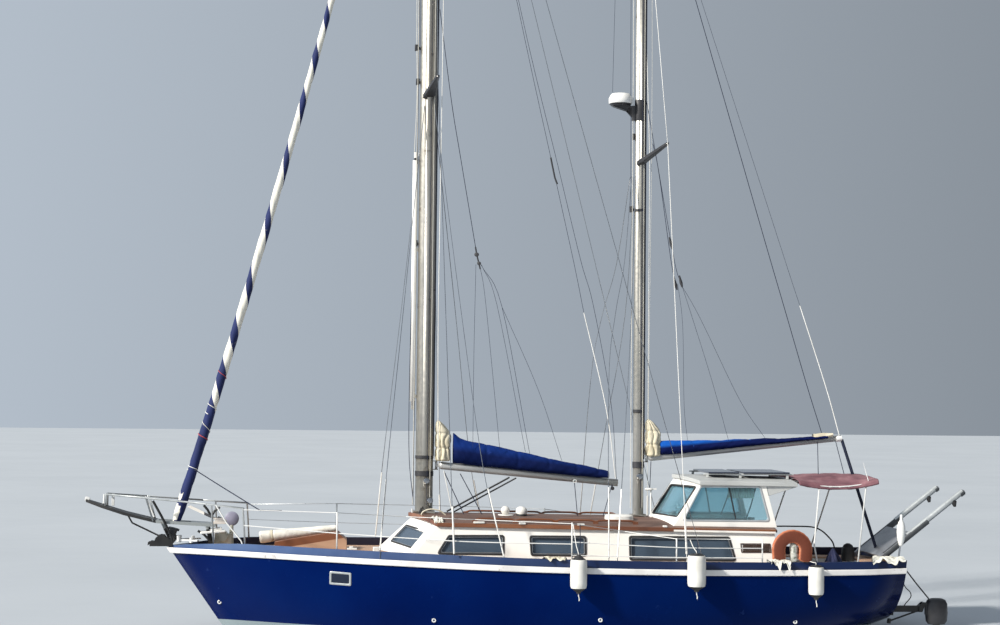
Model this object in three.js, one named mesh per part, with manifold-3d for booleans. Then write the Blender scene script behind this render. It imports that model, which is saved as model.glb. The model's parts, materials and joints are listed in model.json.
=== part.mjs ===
// Pilothouse ketch motorsailer, eleven and a half metres on deck, afloat with her sails stowed.
// Millimetres. +X aft, +Y to starboard, +Z up, the origin amidships on the waterline.
import * as THREE from 'three';
import * as BufferGeometryUtils from 'three/addons/utils/BufferGeometryUtils.js';
import Module from 'manifold-3d';

const wasm = await Module();
wasm.setup();

// Driving dimensions
const GAP = 0.3;                 // between touching pieces
const STEM = -4780;              // stem at the waterline
const TRANSOM = 5600;            // transom at the waterline
const DECK_THICKNESS = 30;
const DECK_EDGE = 20;            // deck edge above the middle of the rubbing strake
const DECK_CROWN = 0.04;         // rise of the deck at the centreline, as a share of the half breadth
const BULWARK_HEIGHT = 155;      // above the middle of the rubbing strake
const BULWARK_THICKNESS = 45;
const STRAKE_HALF_HEIGHT = 44;
const STRAKE_PROUD = 36;
const STRAKE_BACK = 1.4;         // back of the strake outside the hull's side
const KEEL_SOLE = -1750;         // draft
const SALOON_SOLE = 0;
const PILOTHOUSE_SOLE = 450;
const COCKPIT_SOLE = 520;
const TRUNK_AFT = 3700;          // aft face of the cabin bulkhead
const TRUNK_WALL = 35;
const ROOF_EDGE = 1660;          // underside of the trunk roof at its edge, amidships
const ROOF_SLOPE = -0.012;
const ROOF_CROWN = 95;
const ROOF_HALF_WIDTH = 1110;
const ROOF_THICKNESS = 42;
const HOUSE_HEAD = 2340;         // underside of the pilothouse roof at its edge
const HOUSE_CROWN = 50;
const HOUSE_SLOPE = -0.02;
const HOUSE_ROOF_THICKNESS = 60;
const HOUSE_WALL = 35;
const GLASS_THICKNESS = 8;
const GLASS_LAP = 22;            // glass past the edge of its opening
const RUDDER_AXIS = 4500;
const RUDDER_STOCK = 35;
const SHAFT_RADIUS = 20;
const MAIN_MAST = { x: -1690, top: 15860, halfChord: 140, halfWidth: 95 };
const MIZZEN_MAST = { x: 1750, top: 12900, halfChord: 88, halfWidth: 66 };
const MAIN_PIVOT = -1500;        // gooseneck pins
const MIZZEN_PIVOT = 1886;

const WHITE = [0xf1efe8, 0.45, 0];
const NAVY = [0x0b1a4a, 0.3, 0];
const TEAK = [0xa9714b, 0.7, 0];
const STEEL = [0xc9ccd0, 0.25, 1];
const SPAR = [0xc8c2b6, 0.4, 1];
const CANVAS = [0x0d2478, 0.9, 0];
const GLASS = [0x3d4a50, 0.1, 0];
const BLACK = [0x17181c, 0.5, 0];
const FENDER = [0xf4f2ea, 0.55, 0];

const yacht = new THREE.Group();

// Solids
const V = (x, y, z) => new THREE.Vector3(x, y, z);

function add(name, geometry, [color, roughness, metalness]) {
  const mesh = new THREE.Mesh(geometry, new THREE.MeshStandardMaterial({ color, roughness, metalness }));
  mesh.name = name;
  yacht.add(mesh);
}

function solid(geometry) {
  let merged = geometry.clone();
  merged.deleteAttribute('normal');
  merged.deleteAttribute('uv');
  merged = BufferGeometryUtils.mergeVertices(merged, 1e-3);
  return new wasm.Manifold(new wasm.Mesh({
    numProp: 3,
    vertProperties: Float32Array.from(merged.attributes.position.array),
    triVerts: Uint32Array.from(merged.index.array),
  }));
}

function geometry(manifold) {
  const mesh = manifold.getMesh();
  const made = new THREE.BufferGeometry();
  made.setAttribute('position', new THREE.BufferAttribute(Float32Array.from(mesh.vertProperties), 3));
  made.setIndex(new THREE.BufferAttribute(Uint32Array.from(mesh.triVerts), 1));
  return made;
}

const union = (parts) => parts.reduce((whole, part) => whole.add(part));

// The largest body of a solid that a cut leaves with loose slivers.
const largest = (form) => form.decompose().sort((a, b) => b.volume() - a.volume())[0];

// Skin through closed rings of equal length, each end closed by a fan about its centre.
function loft(rings) {
  const count = rings[0].length;
  const points = rings.flat();
  const index = [];
  for (let i = 0; i + 1 < rings.length; i += 1) {
    for (let j = 0; j < count; j += 1) {
      const a = i * count + j;
      const b = i * count + ((j + 1) % count);
      index.push(a, b, b + count, a, b + count, a + count);
    }
  }
  [[0, 1], [rings.length - 1, -1]].forEach(([i, turn]) => {
    const centre = rings[i].reduce((sum, p) => sum.map((s, k) => s + p[k] / count), [0, 0, 0]);
    points.push(centre);
    for (let j = 0; j < count; j += 1) {
      const a = i * count + j;
      const b = i * count + ((j + 1) % count);
      index.push(...(turn > 0 ? [b, a, points.length - 1] : [a, b, points.length - 1]));
    }
  });
  let volume = 0;
  for (let t = 0; t < index.length; t += 3) {
    const [a, b, c] = [0, 1, 2].map((k) => V(...points[index[t + k]]));
    volume += a.dot(b.cross(c));
  }
  if (volume < 0) index.reverse();
  const made = new THREE.BufferGeometry();
  made.setAttribute('position', new THREE.BufferAttribute(Float32Array.from(points.flat()), 3));
  made.setIndex(index);
  return solid(made);
}

const box = (x0, x1, y0, y1, z0, z1) => solid(new THREE.BoxGeometry(x1 - x0, y1 - y0, z1 - z0)
  .translate((x0 + x1) / 2, (y0 + y1) / 2, (z0 + z1) / 2));

// Outline in side view, [x, z] points, carried across from y0 to y1.
const sidePrism = (outline, y0, y1) => loft([y0, y1].map((y) => outline.map(([x, z]) => [x, y, z])));

// Ring of a round or oval section about a centre, in the plane of two given directions.
function oval(centre, across, up, a, b, sides, start = 0) {
  return Array.from({ length: sides }, (_, k) => {
    const angle = start + (2 * Math.PI * k) / sides;
    const p = V(...centre).addScaledVector(across, a * Math.cos(angle)).addScaledVector(up, b * Math.sin(angle));
    return p.toArray();
  });
}

// Straight tube from a to b that tapers from one radius to another.
function taper(a, b, r0, r1, sides = 12) {
  const along = V(...b).sub(V(...a)).normalize();
  const across = (Math.abs(along.y) < 0.9 ? V(0, 1, 0) : V(1, 0, 0)).cross(along).normalize();
  const up = along.clone().cross(across);
  return loft([[a, r0], [b, r1]].map(([p, r]) => oval(p, across, up, r, r, sides)));
}

// Tubes between neighbouring points of each run, joined.
const rails = (runs, radius, sides = 8) => union(runs.flatMap((run) => run.slice(1)
  .map((p, k) => taper(run[k], p, radius, radius, sides))));

// Body of revolution about a vertical axis at (x, y); the profile is [radius, z] and starts and ends on the axis.
const turned = (x, y, profile, sides = 20) => solid(new THREE.LatheGeometry(
  profile.map(([r, z]) => new THREE.Vector2(r, z)), sides).rotateX(Math.PI / 2).translate(x, y, 0));

const mirrored = (ring) => ring.map(([x, y, z]) => [x, -y, z]);

// Hull form. u is the place of a station on the waterline, rake its slope fore and aft per unit of height,
// beam the half breadth at the deck edge, sheer the middle of the strake, rise the bottom at the centreline,
// and fullness the power that rounds the section: over 1 hollow, under 1 full.
const STATIONS = [
  { u: STEM, rake: -0.7, beam: 26, sheer: 1222, rise: -60, fullness: 1.5 },
  { u: -4300, rake: -0.62, beam: 390, sheer: 1226, rise: -300, fullness: 1.4 },
  { u: -3700, rake: -0.45, beam: 800, sheer: 1216, rise: -440, fullness: 1.26 },
  { u: -3000, rake: -0.24, beam: 1140, sheer: 1190, rise: -530, fullness: 1.1 },
  { u: -2000, rake: -0.06, beam: 1480, sheer: 1156, rise: -600, fullness: 0.95 },
  { u: -1000, rake: 0, beam: 1670, sheer: 1122, rise: -640, fullness: 0.85 },
  { u: 0, rake: 0, beam: 1762, sheer: 1092, rise: -655, fullness: 0.8 },
  { u: 1000, rake: 0, beam: 1775, sheer: 1069, rise: -640, fullness: 0.78 },
  { u: 2000, rake: 0, beam: 1742, sheer: 1050, rise: -590, fullness: 0.77 },
  { u: 3000, rake: 0, beam: 1664, sheer: 1036, rise: -480, fullness: 0.76 },
  { u: 4000, rake: 0.03, beam: 1548, sheer: 1026, rise: -300, fullness: 0.74 },
  { u: 5000, rake: 0.1, beam: 1388, sheer: 1022, rise: -60, fullness: 0.72 },
  { u: TRANSOM, rake: 0.15, beam: 1270, sheer: 1032, rise: 160, fullness: 0.7 },
];
const STATION_COUNT = 26;

// Cubic through a column of the table, its slope at each station taken from the two beside it.
function fair(key, u) {
  const last = STATIONS.length - 1;
  if (u <= STATIONS[0].u) return STATIONS[0][key];
  if (u >= STATIONS[last].u) return STATIONS[last][key];
  const i = STATIONS.findIndex((s) => s.u > u) - 1;
  const slope = (k) => {
    const [a, b] = [STATIONS[Math.max(k - 1, 0)], STATIONS[Math.min(k + 1, last)]];
    return (b[key] - a[key]) / (b.u - a.u);
  };
  const [p, q] = [STATIONS[i], STATIONS[i + 1]];
  const span = q.u - p.u;
  const t = (u - p.u) / span;
  return (2 * t ** 3 - 3 * t ** 2 + 1) * p[key] + (t ** 3 - 2 * t ** 2 + t) * span * slope(i)
    + (3 * t ** 2 - 2 * t ** 3) * q[key] + (t ** 3 - t ** 2) * span * slope(i + 1);
}

const stations = Array.from({ length: STATION_COUNT + 1 }, (_, k) => {
  const s = k / STATION_COUNT;
  return STEM + (TRANSOM - STEM) * (0.55 * s + 0.45 * s * s);
});
const xAt = (u, z) => u + fair('rake', u) * z;

// Half breadth and deck height at a place x on the deck edge.
function sideAt(x) {
  let u = x;
  for (let k = 0; k < 20; k += 1) u = x - fair('rake', u) * fair('sheer', u);
  return { beam: fair('beam', u), sheer: fair('sheer', u), u };
}
const deckAt = (x, y = 0) => {
  const { beam, sheer } = sideAt(x);
  return sheer + DECK_EDGE + DECK_CROWN * beam * (1 - Math.min(1, (y / beam) ** 2));
};

// The hull's whole form up to a height above the deck; its side is upright for the last of the way up.
function hullForm(above) {
  const sideSteps = 12;
  const deckSteps = 4;
  return loft(stations.map((u) => {
    const [beam, sheer, rise, fullness] = ['beam', 'sheer', 'rise', 'fullness'].map((key) => fair(key, u));
    const side = sheer + DECK_EDGE - 2 * DECK_THICKNESS;
    const top = sheer + DECK_EDGE + above;
    const half = [];
    for (let k = 1; k <= sideSteps; k += 1) {
      const angle = ((k / sideSteps) * Math.PI) / 2;
      half.push([beam * Math.sin(angle) ** fullness, rise + (side - rise) * (1 - Math.cos(angle))]);
    }
    half.push([beam, top]);
    for (let k = 1; k < deckSteps; k += 1) {
      const y = beam * (1 - k / deckSteps);
      half.push([y, top + DECK_CROWN * beam * (1 - (y / beam) ** 2)]);
    }
    const place = ([y, z]) => [xAt(u, z), y, z];
    return [[xAt(u, rise), 0, rise], ...half.map(place), place([0, top + DECK_CROWN * beam]),
      ...mirrored(half.slice().reverse().map(place))];
  }));
}

// A belt that follows the deck edge between two heights over the strake, from one station to another,
// set in from the side at its foot and at its head.
function belt(from, to, footInset, headInset, foot, head) {
  const places = [from, ...stations.filter((u) => u > from + 1 && u < to - 1), to];
  return loft(places.map((u) => {
    const [beam, sheer] = [fair('beam', u), fair('sheer', u)];
    const low = sheer + foot(u);
    const high = sheer + head(u);
    const footHalf = Math.max(beam - footInset, 6);
    const headHalf = Math.max(beam - headInset, 6);
    return [[xAt(u, low), -footHalf, low], [xAt(u, low), footHalf, low],
      [xAt(u, high), headHalf, high], [xAt(u, high), -headHalf, high]];
  }));
}

const deckForm = hullForm(0);
const standOnDeck = hullForm(GAP);

// Boxes that the living space, the engine bay and the cockpit leave in the hull and the deck
const saloonSpace = box(-1950, 2050, -950, 950, SALOON_SOLE, 1700);
const houseSpace = box(2050, TRUNK_AFT - 40, -930, 930, PILOTHOUSE_SOLE, 1700);
const engineSpace = box(2150, 3250, -400, 400, -60, 600);
const doorway = box(TRUNK_AFT - 60, TRUNK_AFT + 20, -310, 310, COCKPIT_SOLE + 60, 2600);
const cockpitSpace = box(TRUNK_AFT, 5350, -480, 480, COCKPIT_SOLE, 1700);

// The companion door's hinges: a knuckle on the bulkhead stands on each knuckle of the door
const DOOR_HINGE = { x: TRUNK_AFT + 22, y: 352, low: 760, high: 1450, radius: 11 };
const doorKnuckle = (z) => {
  const { x, y, radius } = DOOR_HINGE;
  return taper([x, y, z + 40 + GAP], [x, y, z + 80], radius, radius, 12).add(box(TRUNK_AFT - 5, x, y, y + 9, z + 40 + GAP, z + 80))
    .add(taper([x, y, z - 80], [x, y, z - 40 - GAP], radius, radius, 12)).add(box(TRUNK_AFT - 5, x, y, y + 9, z - 80, z - 40 - GAP));
};

// Stern gear: the shaft leaves the bottom and slopes down to the propeller
const shaftFrom = [2450, 0, -505];
const hubAt = [3440, 0, -715];
const stockHole = taper([RUDDER_AXIS, 0, -500], [RUDDER_AXIS, 0, 100], RUDDER_STOCK + 0.6, RUDDER_STOCK + 0.6, 24);
const shaftHole = taper(shaftFrom, hubAt, SHAFT_RADIUS + 0.5, SHAFT_RADIUS + 0.5, 16);

// Bracket that carries the shaft ahead of the propeller
const shaftAxis = V(...hubAt).sub(V(...shaftFrom)).normalize();
const onShaft = (distance, from = hubAt) => V(...from).addScaledVector(shaftAxis, distance).toArray();
const bracketArm = loft([[-150, 46], [-760, 60]].map(([z, half]) => [
  [3230 - half, -9, z], [3230 + half, -9, z], [3230 + half, 9, z], [3230 - half, 9, z]]));
const bearing = taper(onShaft(-280), onShaft(-130), 38, 38, 16);
const bore = taper(onShaft(-500), onShaft(50), SHAFT_RADIUS + 0.5, SHAFT_RADIUS + 0.5, 16);
const shaftBracket = bracketArm.subtract(box(3100, 3400, -50, 50, -1200, -660)).add(bearing).subtract(bore);

const hull = hullForm(-DECK_THICKNESS - 2 * GAP)
  .subtract(union([saloonSpace, houseSpace, engineSpace, doorway, cockpitSpace]))
  .subtract(stockHole).subtract(shaftHole).add(shaftBracket).add(doorKnuckle(DOOR_HINGE.low));
add('hull', geometry(hull), NAVY);

const deck = deckForm.subtract(hullForm(-DECK_THICKNESS))
  .intersect(belt(STEM + 2, TRANSOM - 1, 2, 2, () => DECK_EDGE - DECK_THICKNESS, () => 400))
  .subtract(union([saloonSpace, houseSpace, doorway, cockpitSpace]));
add('deck', geometry(deck), TEAK);

const bulwarkHead = (u) => BULWARK_HEIGHT - 85 * Math.max(0, (-3900 - u) / 880);
// Place in the middle of the bulwark's top.
const onBulwark = (x) => {
  const { beam, sheer, u } = sideAt(x);
  return [x, beam - 66, sheer + bulwarkHead(u)];
};
const bulwark = belt(STEM, TRANSOM, 12, 44, () => -60, bulwarkHead)
  .subtract(belt(-4500, TRANSOM - BULWARK_THICKNESS, 6 + BULWARK_THICKNESS, 80 + BULWARK_THICKNESS,
    () => -100, () => 400))
  .subtract(standOnDeck);
add('bulwark', geometry(largest(bulwark)), NAVY);
const overBulwark = bulwark.add(bulwark.translate([0, 0, GAP]));

const strakeRing = (u, hand) => {
  const [beam, sheer] = [fair('beam', u), fair('sheer', u)];
  const nose = u === STEM ? STRAKE_PROUD : 0;
  return [[STRAKE_BACK, -1, 0], [STRAKE_PROUD, -1, nose], [STRAKE_PROUD, 1, nose], [STRAKE_BACK, 1, 0]].map(([proud, up, fore]) => {
    const z = sheer + up * STRAKE_HALF_HEIGHT;
    return [xAt(u, z) - fore - (u === STEM ? STRAKE_BACK : 0), hand * (beam + proud), z];
  });
};
const strake = loft([...stations.slice().reverse().map((u) => strakeRing(u, -1)),
  ...stations.map((u) => strakeRing(u, 1))]);
add('rub_rail', geometry(strake), WHITE);

// Ballast keel, skeg and rudder: foils whose chord runs from lead to trail at each height
function foil(rows) {
  const shape = [[0, 0], [0.03, 0.42], [0.12, 0.8], [0.35, 1], [0.65, 0.72], [1, 0.08]];
  return loft(rows.map(({ z, lead, trail, half }) => {
    const side = shape.map(([s, t]) => [lead + s * (trail - lead), t * half, z]);
    return [...side, ...mirrored(side.slice(1).reverse())];
  }));
}
const bottom = hullForm(-DECK_THICKNESS).translate([0, 0, -GAP]);
add('keel', geometry(foil([
  { z: -450, lead: -1750, trail: 1650, half: 170 },
  { z: -1100, lead: -1300, trail: 1520, half: 150 },
  { z: KEEL_SOLE, lead: -950, trail: 1420, half: 165 },
]).subtract(bottom)), NAVY);

const SKEG_TRAIL = RUDDER_AXIS - 62;
const skegBlade = foil([
  { z: 0, lead: 3560, trail: SKEG_TRAIL, half: 48 },
  { z: -600, lead: 3800, trail: SKEG_TRAIL, half: 46 },
  { z: -1300, lead: 4080, trail: SKEG_TRAIL, half: 40 },
]);
const heel = box(4250, RUDDER_AXIS + 60, -28, 28, -1300, -1255);
const heelHole = taper([RUDDER_AXIS, 0, -1400], [RUDDER_AXIS, 0, -1200], 16, 16, 12);
add('skeg', geometry(skegBlade.add(heel).subtract(heelHole).subtract(bottom)), NAVY);

const blade = loft([
  { z: -235, trail: 5010 }, { z: -700, trail: 5080 }, { z: -1248, trail: 4990 },
].map(({ z, trail }) => {
  const side = [[-45, 0], [-32, 32], [0, 45], [150, 42], [trail - RUDDER_AXIS, 7]]
    .map(([x, y]) => [RUDDER_AXIS + x, y, z]);
  return [...side, ...mirrored(side.slice(1).reverse())];
}));
const stock = taper([RUDDER_AXIS, 0, -400], [RUDDER_AXIS, 0, 95], RUDDER_STOCK, RUDDER_STOCK, 24);
const pintle = taper([RUDDER_AXIS, 0, -1285], [RUDDER_AXIS, 0, -1200], 15, 15, 12);
add('rudder', geometry(union([blade, stock, pintle])), NAVY);

// Propeller
const propBlade = (turn) => {
  const rings = [0.16, 0.45, 0.75, 0.95, 1].map((s, k) => {
    const radius = 230 * s;
    const chord = [38, 68, 78, 52, 14][k];
    const pitch = [1.1, 0.8, 0.6, 0.5, 0.48][k];
    const across = V(Math.sin(pitch), Math.cos(pitch), 0);
    const up = V(Math.cos(pitch), -Math.sin(pitch), 0);
    return oval([0, 0, radius], across, up, chord, 7 - 4 * s, 8);
  });
  const toShaft = new THREE.Matrix4().makeRotationY(Math.atan2(hubAt[2] - shaftFrom[2], hubAt[0] - shaftFrom[0]) * -1)
    .multiply(new THREE.Matrix4().makeRotationX(turn)).setPosition(...hubAt);
  return loft(rings.map((ring) => ring.map((p) => V(...p).applyMatrix4(toShaft).toArray())));
};
const propeller = union([
  taper(onShaft(8, shaftFrom), onShaft(-40), SHAFT_RADIUS, SHAFT_RADIUS, 16),
  taper(onShaft(-55), onShaft(55), 46, 40, 16),
  taper(onShaft(50), onShaft(110), 38, 8, 16),
  ...[0, 1, 2].map((k) => propBlade((k * 2 * Math.PI) / 3)),
]);
add('propeller', geometry(propeller), [0xb08d57, 0.3, 1]);

// Engine in its bay, under the pilothouse sole
add('engine', geometry(box(2300, 3150, -280, 280, -60 + GAP, 400)), [0x4a6b52, 0.6, 0]);
add('pilothouse_sole', geometry(box(2055, 3655, -925, 925, PILOTHOUSE_SOLE + GAP, PILOTHOUSE_SOLE + 22)), TEAK);

// Plan outlines of the two houses, from the nose round to the aft corner; both sides are alike
const outline = (nose, corner, aft) => [nose, corner, aft, [aft[0], -aft[1]], [corner[0], -corner[1]]];

// The outline moved in by a distance, each corner where its two moved sides meet.
function inset(points, distance) {
  const sides = points.map((p, i) => {
    const q = points[(i + 1) % points.length];
    const along = new THREE.Vector2(q[0] - p[0], q[1] - p[1]).normalize();
    const start = new THREE.Vector2(...p).addScaledVector(new THREE.Vector2(along.y, -along.x), distance);
    return { start, along };
  });
  return sides.map((side, i) => {
    const before = sides[(i + sides.length - 1) % sides.length];
    const apart = side.start.clone().sub(before.start);
    const t = apart.cross(side.along) / before.along.cross(side.along);
    return before.start.clone().addScaledVector(before.along, t).toArray();
  });
}

// House between a low and a high outline, moved in by a distance.
function house({ low, lowZ, high, highZ }, distance) {
  return loft([[low, lowZ], [high, highZ]].map(([points, z]) => inset(points, distance)
    .map(([x, y]) => [x, y, z])));
}

const TRUNK = {
  lowZ: 1000, low: outline([-2690, 0], [-2120, 1150], [TRUNK_AFT, 1225]),
  highZ: 1900, high: outline([-1716, 0], [-1330, 970], [TRUNK_AFT, 1085]),
};
const HOUSE = {
  lowZ: 1600, low: outline([1810, 0], [2070, 1010], [3790, 1010]),
  highZ: 2400, high: outline([2340, 0], [2610, 930], [3590, 930]),
};

// Everything under a crowned surface whose edge lies at a height at the place x0 and slopes along the boat.
function under(edge, crown, halfWidth, lift, slope, x0) {
  const ys = Array.from({ length: 13 }, (_, k) => -1400 + (2800 * k) / 12);
  return loft([-3500, 4600].map((x) => [[x, -1400, 0], ...ys.map((y) => [x, y,
    edge + lift + slope * (x - x0) + crown * (1 - (y / halfWidth) ** 2)]), [x, 1400, 0]]));
}
const underTrunkRoof = (lift) => under(ROOF_EDGE, ROOF_CROWN, ROOF_HALF_WIDTH, lift, ROOF_SLOPE, 0);
const underHouseRoof = (lift) => under(HOUSE_HEAD, HOUSE_CROWN, 950, lift, HOUSE_SLOPE, 2500);

// Trunk cabin: side windows as [x, z] outlines, and one window in each half of the front
const SIDE_WINDOWS = [
  [[-1530, 1268], [-520, 1262], [-520, 1540], [-1355, 1536]],
  [[-92, 1252], [742, 1248], [742, 1532], [-108, 1534]],
  [[1430, 1190], [3070, 1182], [2980, 1530], [1430, 1536]],
];
const TRUNK_FRONT_WINDOW = [[0.13, 0.425], [0.78, 0.373], [0.75, 0.641], [0.08, 0.694]];
const HOUSE_FRONT_WINDOW = [[0.04, 0.29], [0.93, 0.29], [0.93, 0.86], [0.04, 0.86]];
const sideCut = (points) => sidePrism(points, -1600, 1600);

// Window in a flat front panel, cut along the panel's normal. Its corners are shares of the way across the panel
// and of the way up it.
function panelCut(corners, shares, depth) {
  const [a, b, c, d] = corners.map((p) => V(...p));
  const at = (s, t) => a.clone().lerp(b, s).lerp(d.clone().lerp(c, s), t);
  const normal = b.clone().sub(a).cross(d.clone().sub(a)).normalize();
  const quad = shares.map(([across, up]) => at(across, up));
  return loft([-depth, depth].map((away) => quad.map((p) => p.clone().addScaledVector(normal, away).toArray())));
}
const frontPanel = ({ low, lowZ, high, highZ }, hand) => [
  [low[0][0], 0, lowZ], [low[1][0], hand * low[1][1], lowZ],
  [high[1][0], hand * high[1][1], highZ], [high[0][0], 0, highZ]];

const trunkWalls = house(TRUNK, 0).subtract(house(TRUNK, TRUNK_WALL))
  .subtract(standOnDeck).intersect(underTrunkRoof(-GAP))
  .subtract(union(SIDE_WINDOWS.map(sideCut)))
  .subtract(union([1, -1].map((hand) => panelCut(frontPanel(TRUNK, hand), TRUNK_FRONT_WINDOW, 120))))
  .subtract(doorway).add(doorKnuckle(DOOR_HINGE.high));
add('trunk_cabin', geometry(trunkWalls), WHITE);

// Glass lies behind its openings as a lining
const lining = (form, wall) => house(form, wall + GAP).subtract(house(form, wall + GAP + GLASS_THICKNESS));
const trunkGlass = lining(TRUNK, TRUNK_WALL);
[['port', -1], ['starboard', 1]].forEach(([name, hand]) => {
  const reach = hand < 0 ? [-1300, -700] : [700, 1300];
  add(`trunk_glass_${name}`, geometry(trunkGlass.intersect(
    box(-1560, 3070 + GLASS_LAP, ...reach, 1182 - GLASS_LAP, 1540 + GLASS_LAP)).subtract(standOnDeck)), GLASS);
});
add('trunk_glass_front', geometry(trunkGlass.intersect(
  box(-2900, -1550, -880, 880, 1310, 1650))), GLASS);

const trunkPlan = (distance, z0, z1) => {
  const top = inset(outline([-1885, 0], [-1515, 1010], [TRUNK_AFT + 10, 1125]), distance);
  return loft([z0, z1].map((z) => top.map(([x, y]) => [x, y, z])));
};
const houseOpening = house(HOUSE, HOUSE_WALL + 12).intersect(box(1500, TRUNK_AFT - 40, -1200, 1200, 1500, 2500));
const trunkRoof = trunkPlan(-28, 1500, 2000)
  .intersect(underTrunkRoof(ROOF_THICKNESS)).subtract(underTrunkRoof(0))
  .subtract(houseOpening).subtract(doorway).subtract(doorway.translate([60, 0, 0]));
add('trunk_roof', geometry(trunkRoof), TEAK);

// Pilothouse: raked front in two halves, a long window each side, open aft above the cabin bulkhead
const HOUSE_WINDOW = [[2285, 1778], [3655, 1772], [3520, 2300], [2572, 2302]];
const houseWalls = house(HOUSE, 0).subtract(house(HOUSE, HOUSE_WALL))
  .subtract(underTrunkRoof(ROOF_THICKNESS + GAP)).intersect(underHouseRoof(-GAP))
  .subtract(sidePrism(HOUSE_WINDOW, -1600, 1600))
  .subtract(union([1, -1].map((hand) => panelCut(frontPanel(HOUSE, hand), HOUSE_FRONT_WINDOW, 120))))
  .subtract(box(3300, 4400, -930, 930, 1600, 2600));
add('pilothouse', geometry(houseWalls), WHITE);

const houseGlass = lining(HOUSE, HOUSE_WALL);
[['port', -1], ['starboard', 1]].forEach(([name, hand]) => {
  const reach = hand < 0 ? [-1100, -872] : [872, 1100];
  add(`pilothouse_glass_${name}`, geometry(houseGlass.intersect(sidePrism([
    [2262, 1752], [3672, 1752], [3540, 2330], [2560, 2330]], ...reach)).intersect(underHouseRoof(-GAP))
    .subtract(underTrunkRoof(ROOF_THICKNESS + GAP))), GLASS);
});
add('pilothouse_glass_front', geometry(houseGlass.intersect(box(1700, 2640, -835, 835, 1700, 2400))
  .intersect(underHouseRoof(-GAP)).subtract(underTrunkRoof(ROOF_THICKNESS + GAP))), GLASS);

// Pilothouse roof with its aft overhang and the two side fairings under it
const roofPlan = loft([2200, 2600].map((z) => outline([2300, 0], [2545, 1010], [4110, 960])
  .map(([x, y]) => [x, y, z])));
const fairing = (y0, y1) => sidePrism([[3612, 2358], [4100, 2358], [4100, 2300], [3655, 2160]], y0, y1);
const houseRoof = roofPlan.intersect(underHouseRoof(HOUSE_ROOF_THICKNESS)).subtract(underHouseRoof(0))
  .add(fairing(-940, -905).subtract(underHouseRoof(20).subtract(underHouseRoof(1))))
  .add(fairing(905, 940).subtract(underHouseRoof(20).subtract(underHouseRoof(1))));
add('pilothouse_roof', geometry(houseRoof), WHITE);

// Two dark panels on white rails along the roof
const roofTop = (x, y) => (
  HOUSE_HEAD + HOUSE_ROOF_THICKNESS + HOUSE_SLOPE * (x - 2500) + HOUSE_CROWN * (1 - (y / 950) ** 2)
);
const roofRail = (y) => union([
  box(2700, 4150, y - 12, y + 12, roofTop(2700, y) + 40, roofTop(2700, y) + 62),
  ...[2760, 3290, 4050].map((x) => box(x - 20, x + 20, y - 12, y + 12, roofTop(x, y) + 1, roofTop(2700, y) + 41)),
]);
const roofRails = union([roofRail(-560), roofRail(560), box(3280, 3310, -560, 560, roofTop(2700, 560) + 40,
  roofTop(2700, 560) + 62)]);
add('roof_rails', geometry(roofRails.subtract(underHouseRoof(HOUSE_ROOF_THICKNESS + GAP))), WHITE);
const railHead = roofTop(2700, 560) + 62 + GAP;
add('roof_panels', geometry(union([
  box(2770, 3260, -600, 600, railHead, railHead + 24), box(3330, 4080, -600, 600, railHead, railHead + 24),
  box(3250, 3340, -40, 40, railHead, railHead + 18)])), BLACK);

// Door in the cabin bulkhead, hung on its starboard edge
add('companion_door', geometry(union([
  box(TRUNK_AFT + 5, TRUNK_AFT + 33, -345, 340, COCKPIT_SOLE + 30, 1640),
  ...[DOOR_HINGE.low, DOOR_HINGE.high].map((z) => taper([DOOR_HINGE.x, DOOR_HINGE.y, z - 40],
    [DOOR_HINGE.x, DOOR_HINGE.y, z + 40], DOOR_HINGE.radius, DOOR_HINGE.radius, 12)
    .add(box(TRUNK_AFT + 12, TRUNK_AFT + 30, 320, 350, z - 40, z + 40))),
])), TEAK);

// Helm: a console under the windscreen and a wheel on a short shaft
const HELM = [2452, -420, 1430];
const consoleBody = sidePrism([[2110, PILOTHOUSE_SOLE + 22 + GAP], [2380, PILOTHOUSE_SOLE + 22 + GAP], [2380, 1500],
  [2300, 1640], [2120, 1640]], -800, -60);
const helmHole = taper([2300, HELM[1], HELM[2]], [2400, HELM[1], HELM[2]], 12.6, 12.6, 16);
add('helm_console', geometry(consoleBody.subtract(helmHole)), WHITE);
const wheelRim = solid(new THREE.TorusGeometry(200, 13, 8, 28).rotateY(Math.PI / 2).translate(...HELM));
const spokes = [0, 1, 2].map((k) => {
  const [s, c] = [Math.sin((k * Math.PI) / 3) * 195, Math.cos((k * Math.PI) / 3) * 195];
  return taper([HELM[0], HELM[1] - s, HELM[2] - c], [HELM[0], HELM[1] + s, HELM[2] + c], 9, 9, 8);
});
add('helm_wheel', geometry(union([wheelRim, ...spokes,
  taper([2310, HELM[1], HELM[2]], [2470, HELM[1], HELM[2]], 12, 12, 16),
  taper([2435, HELM[1], HELM[2]], [2472, HELM[1], HELM[2]], 34, 30, 16)])), TEAK);

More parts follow.
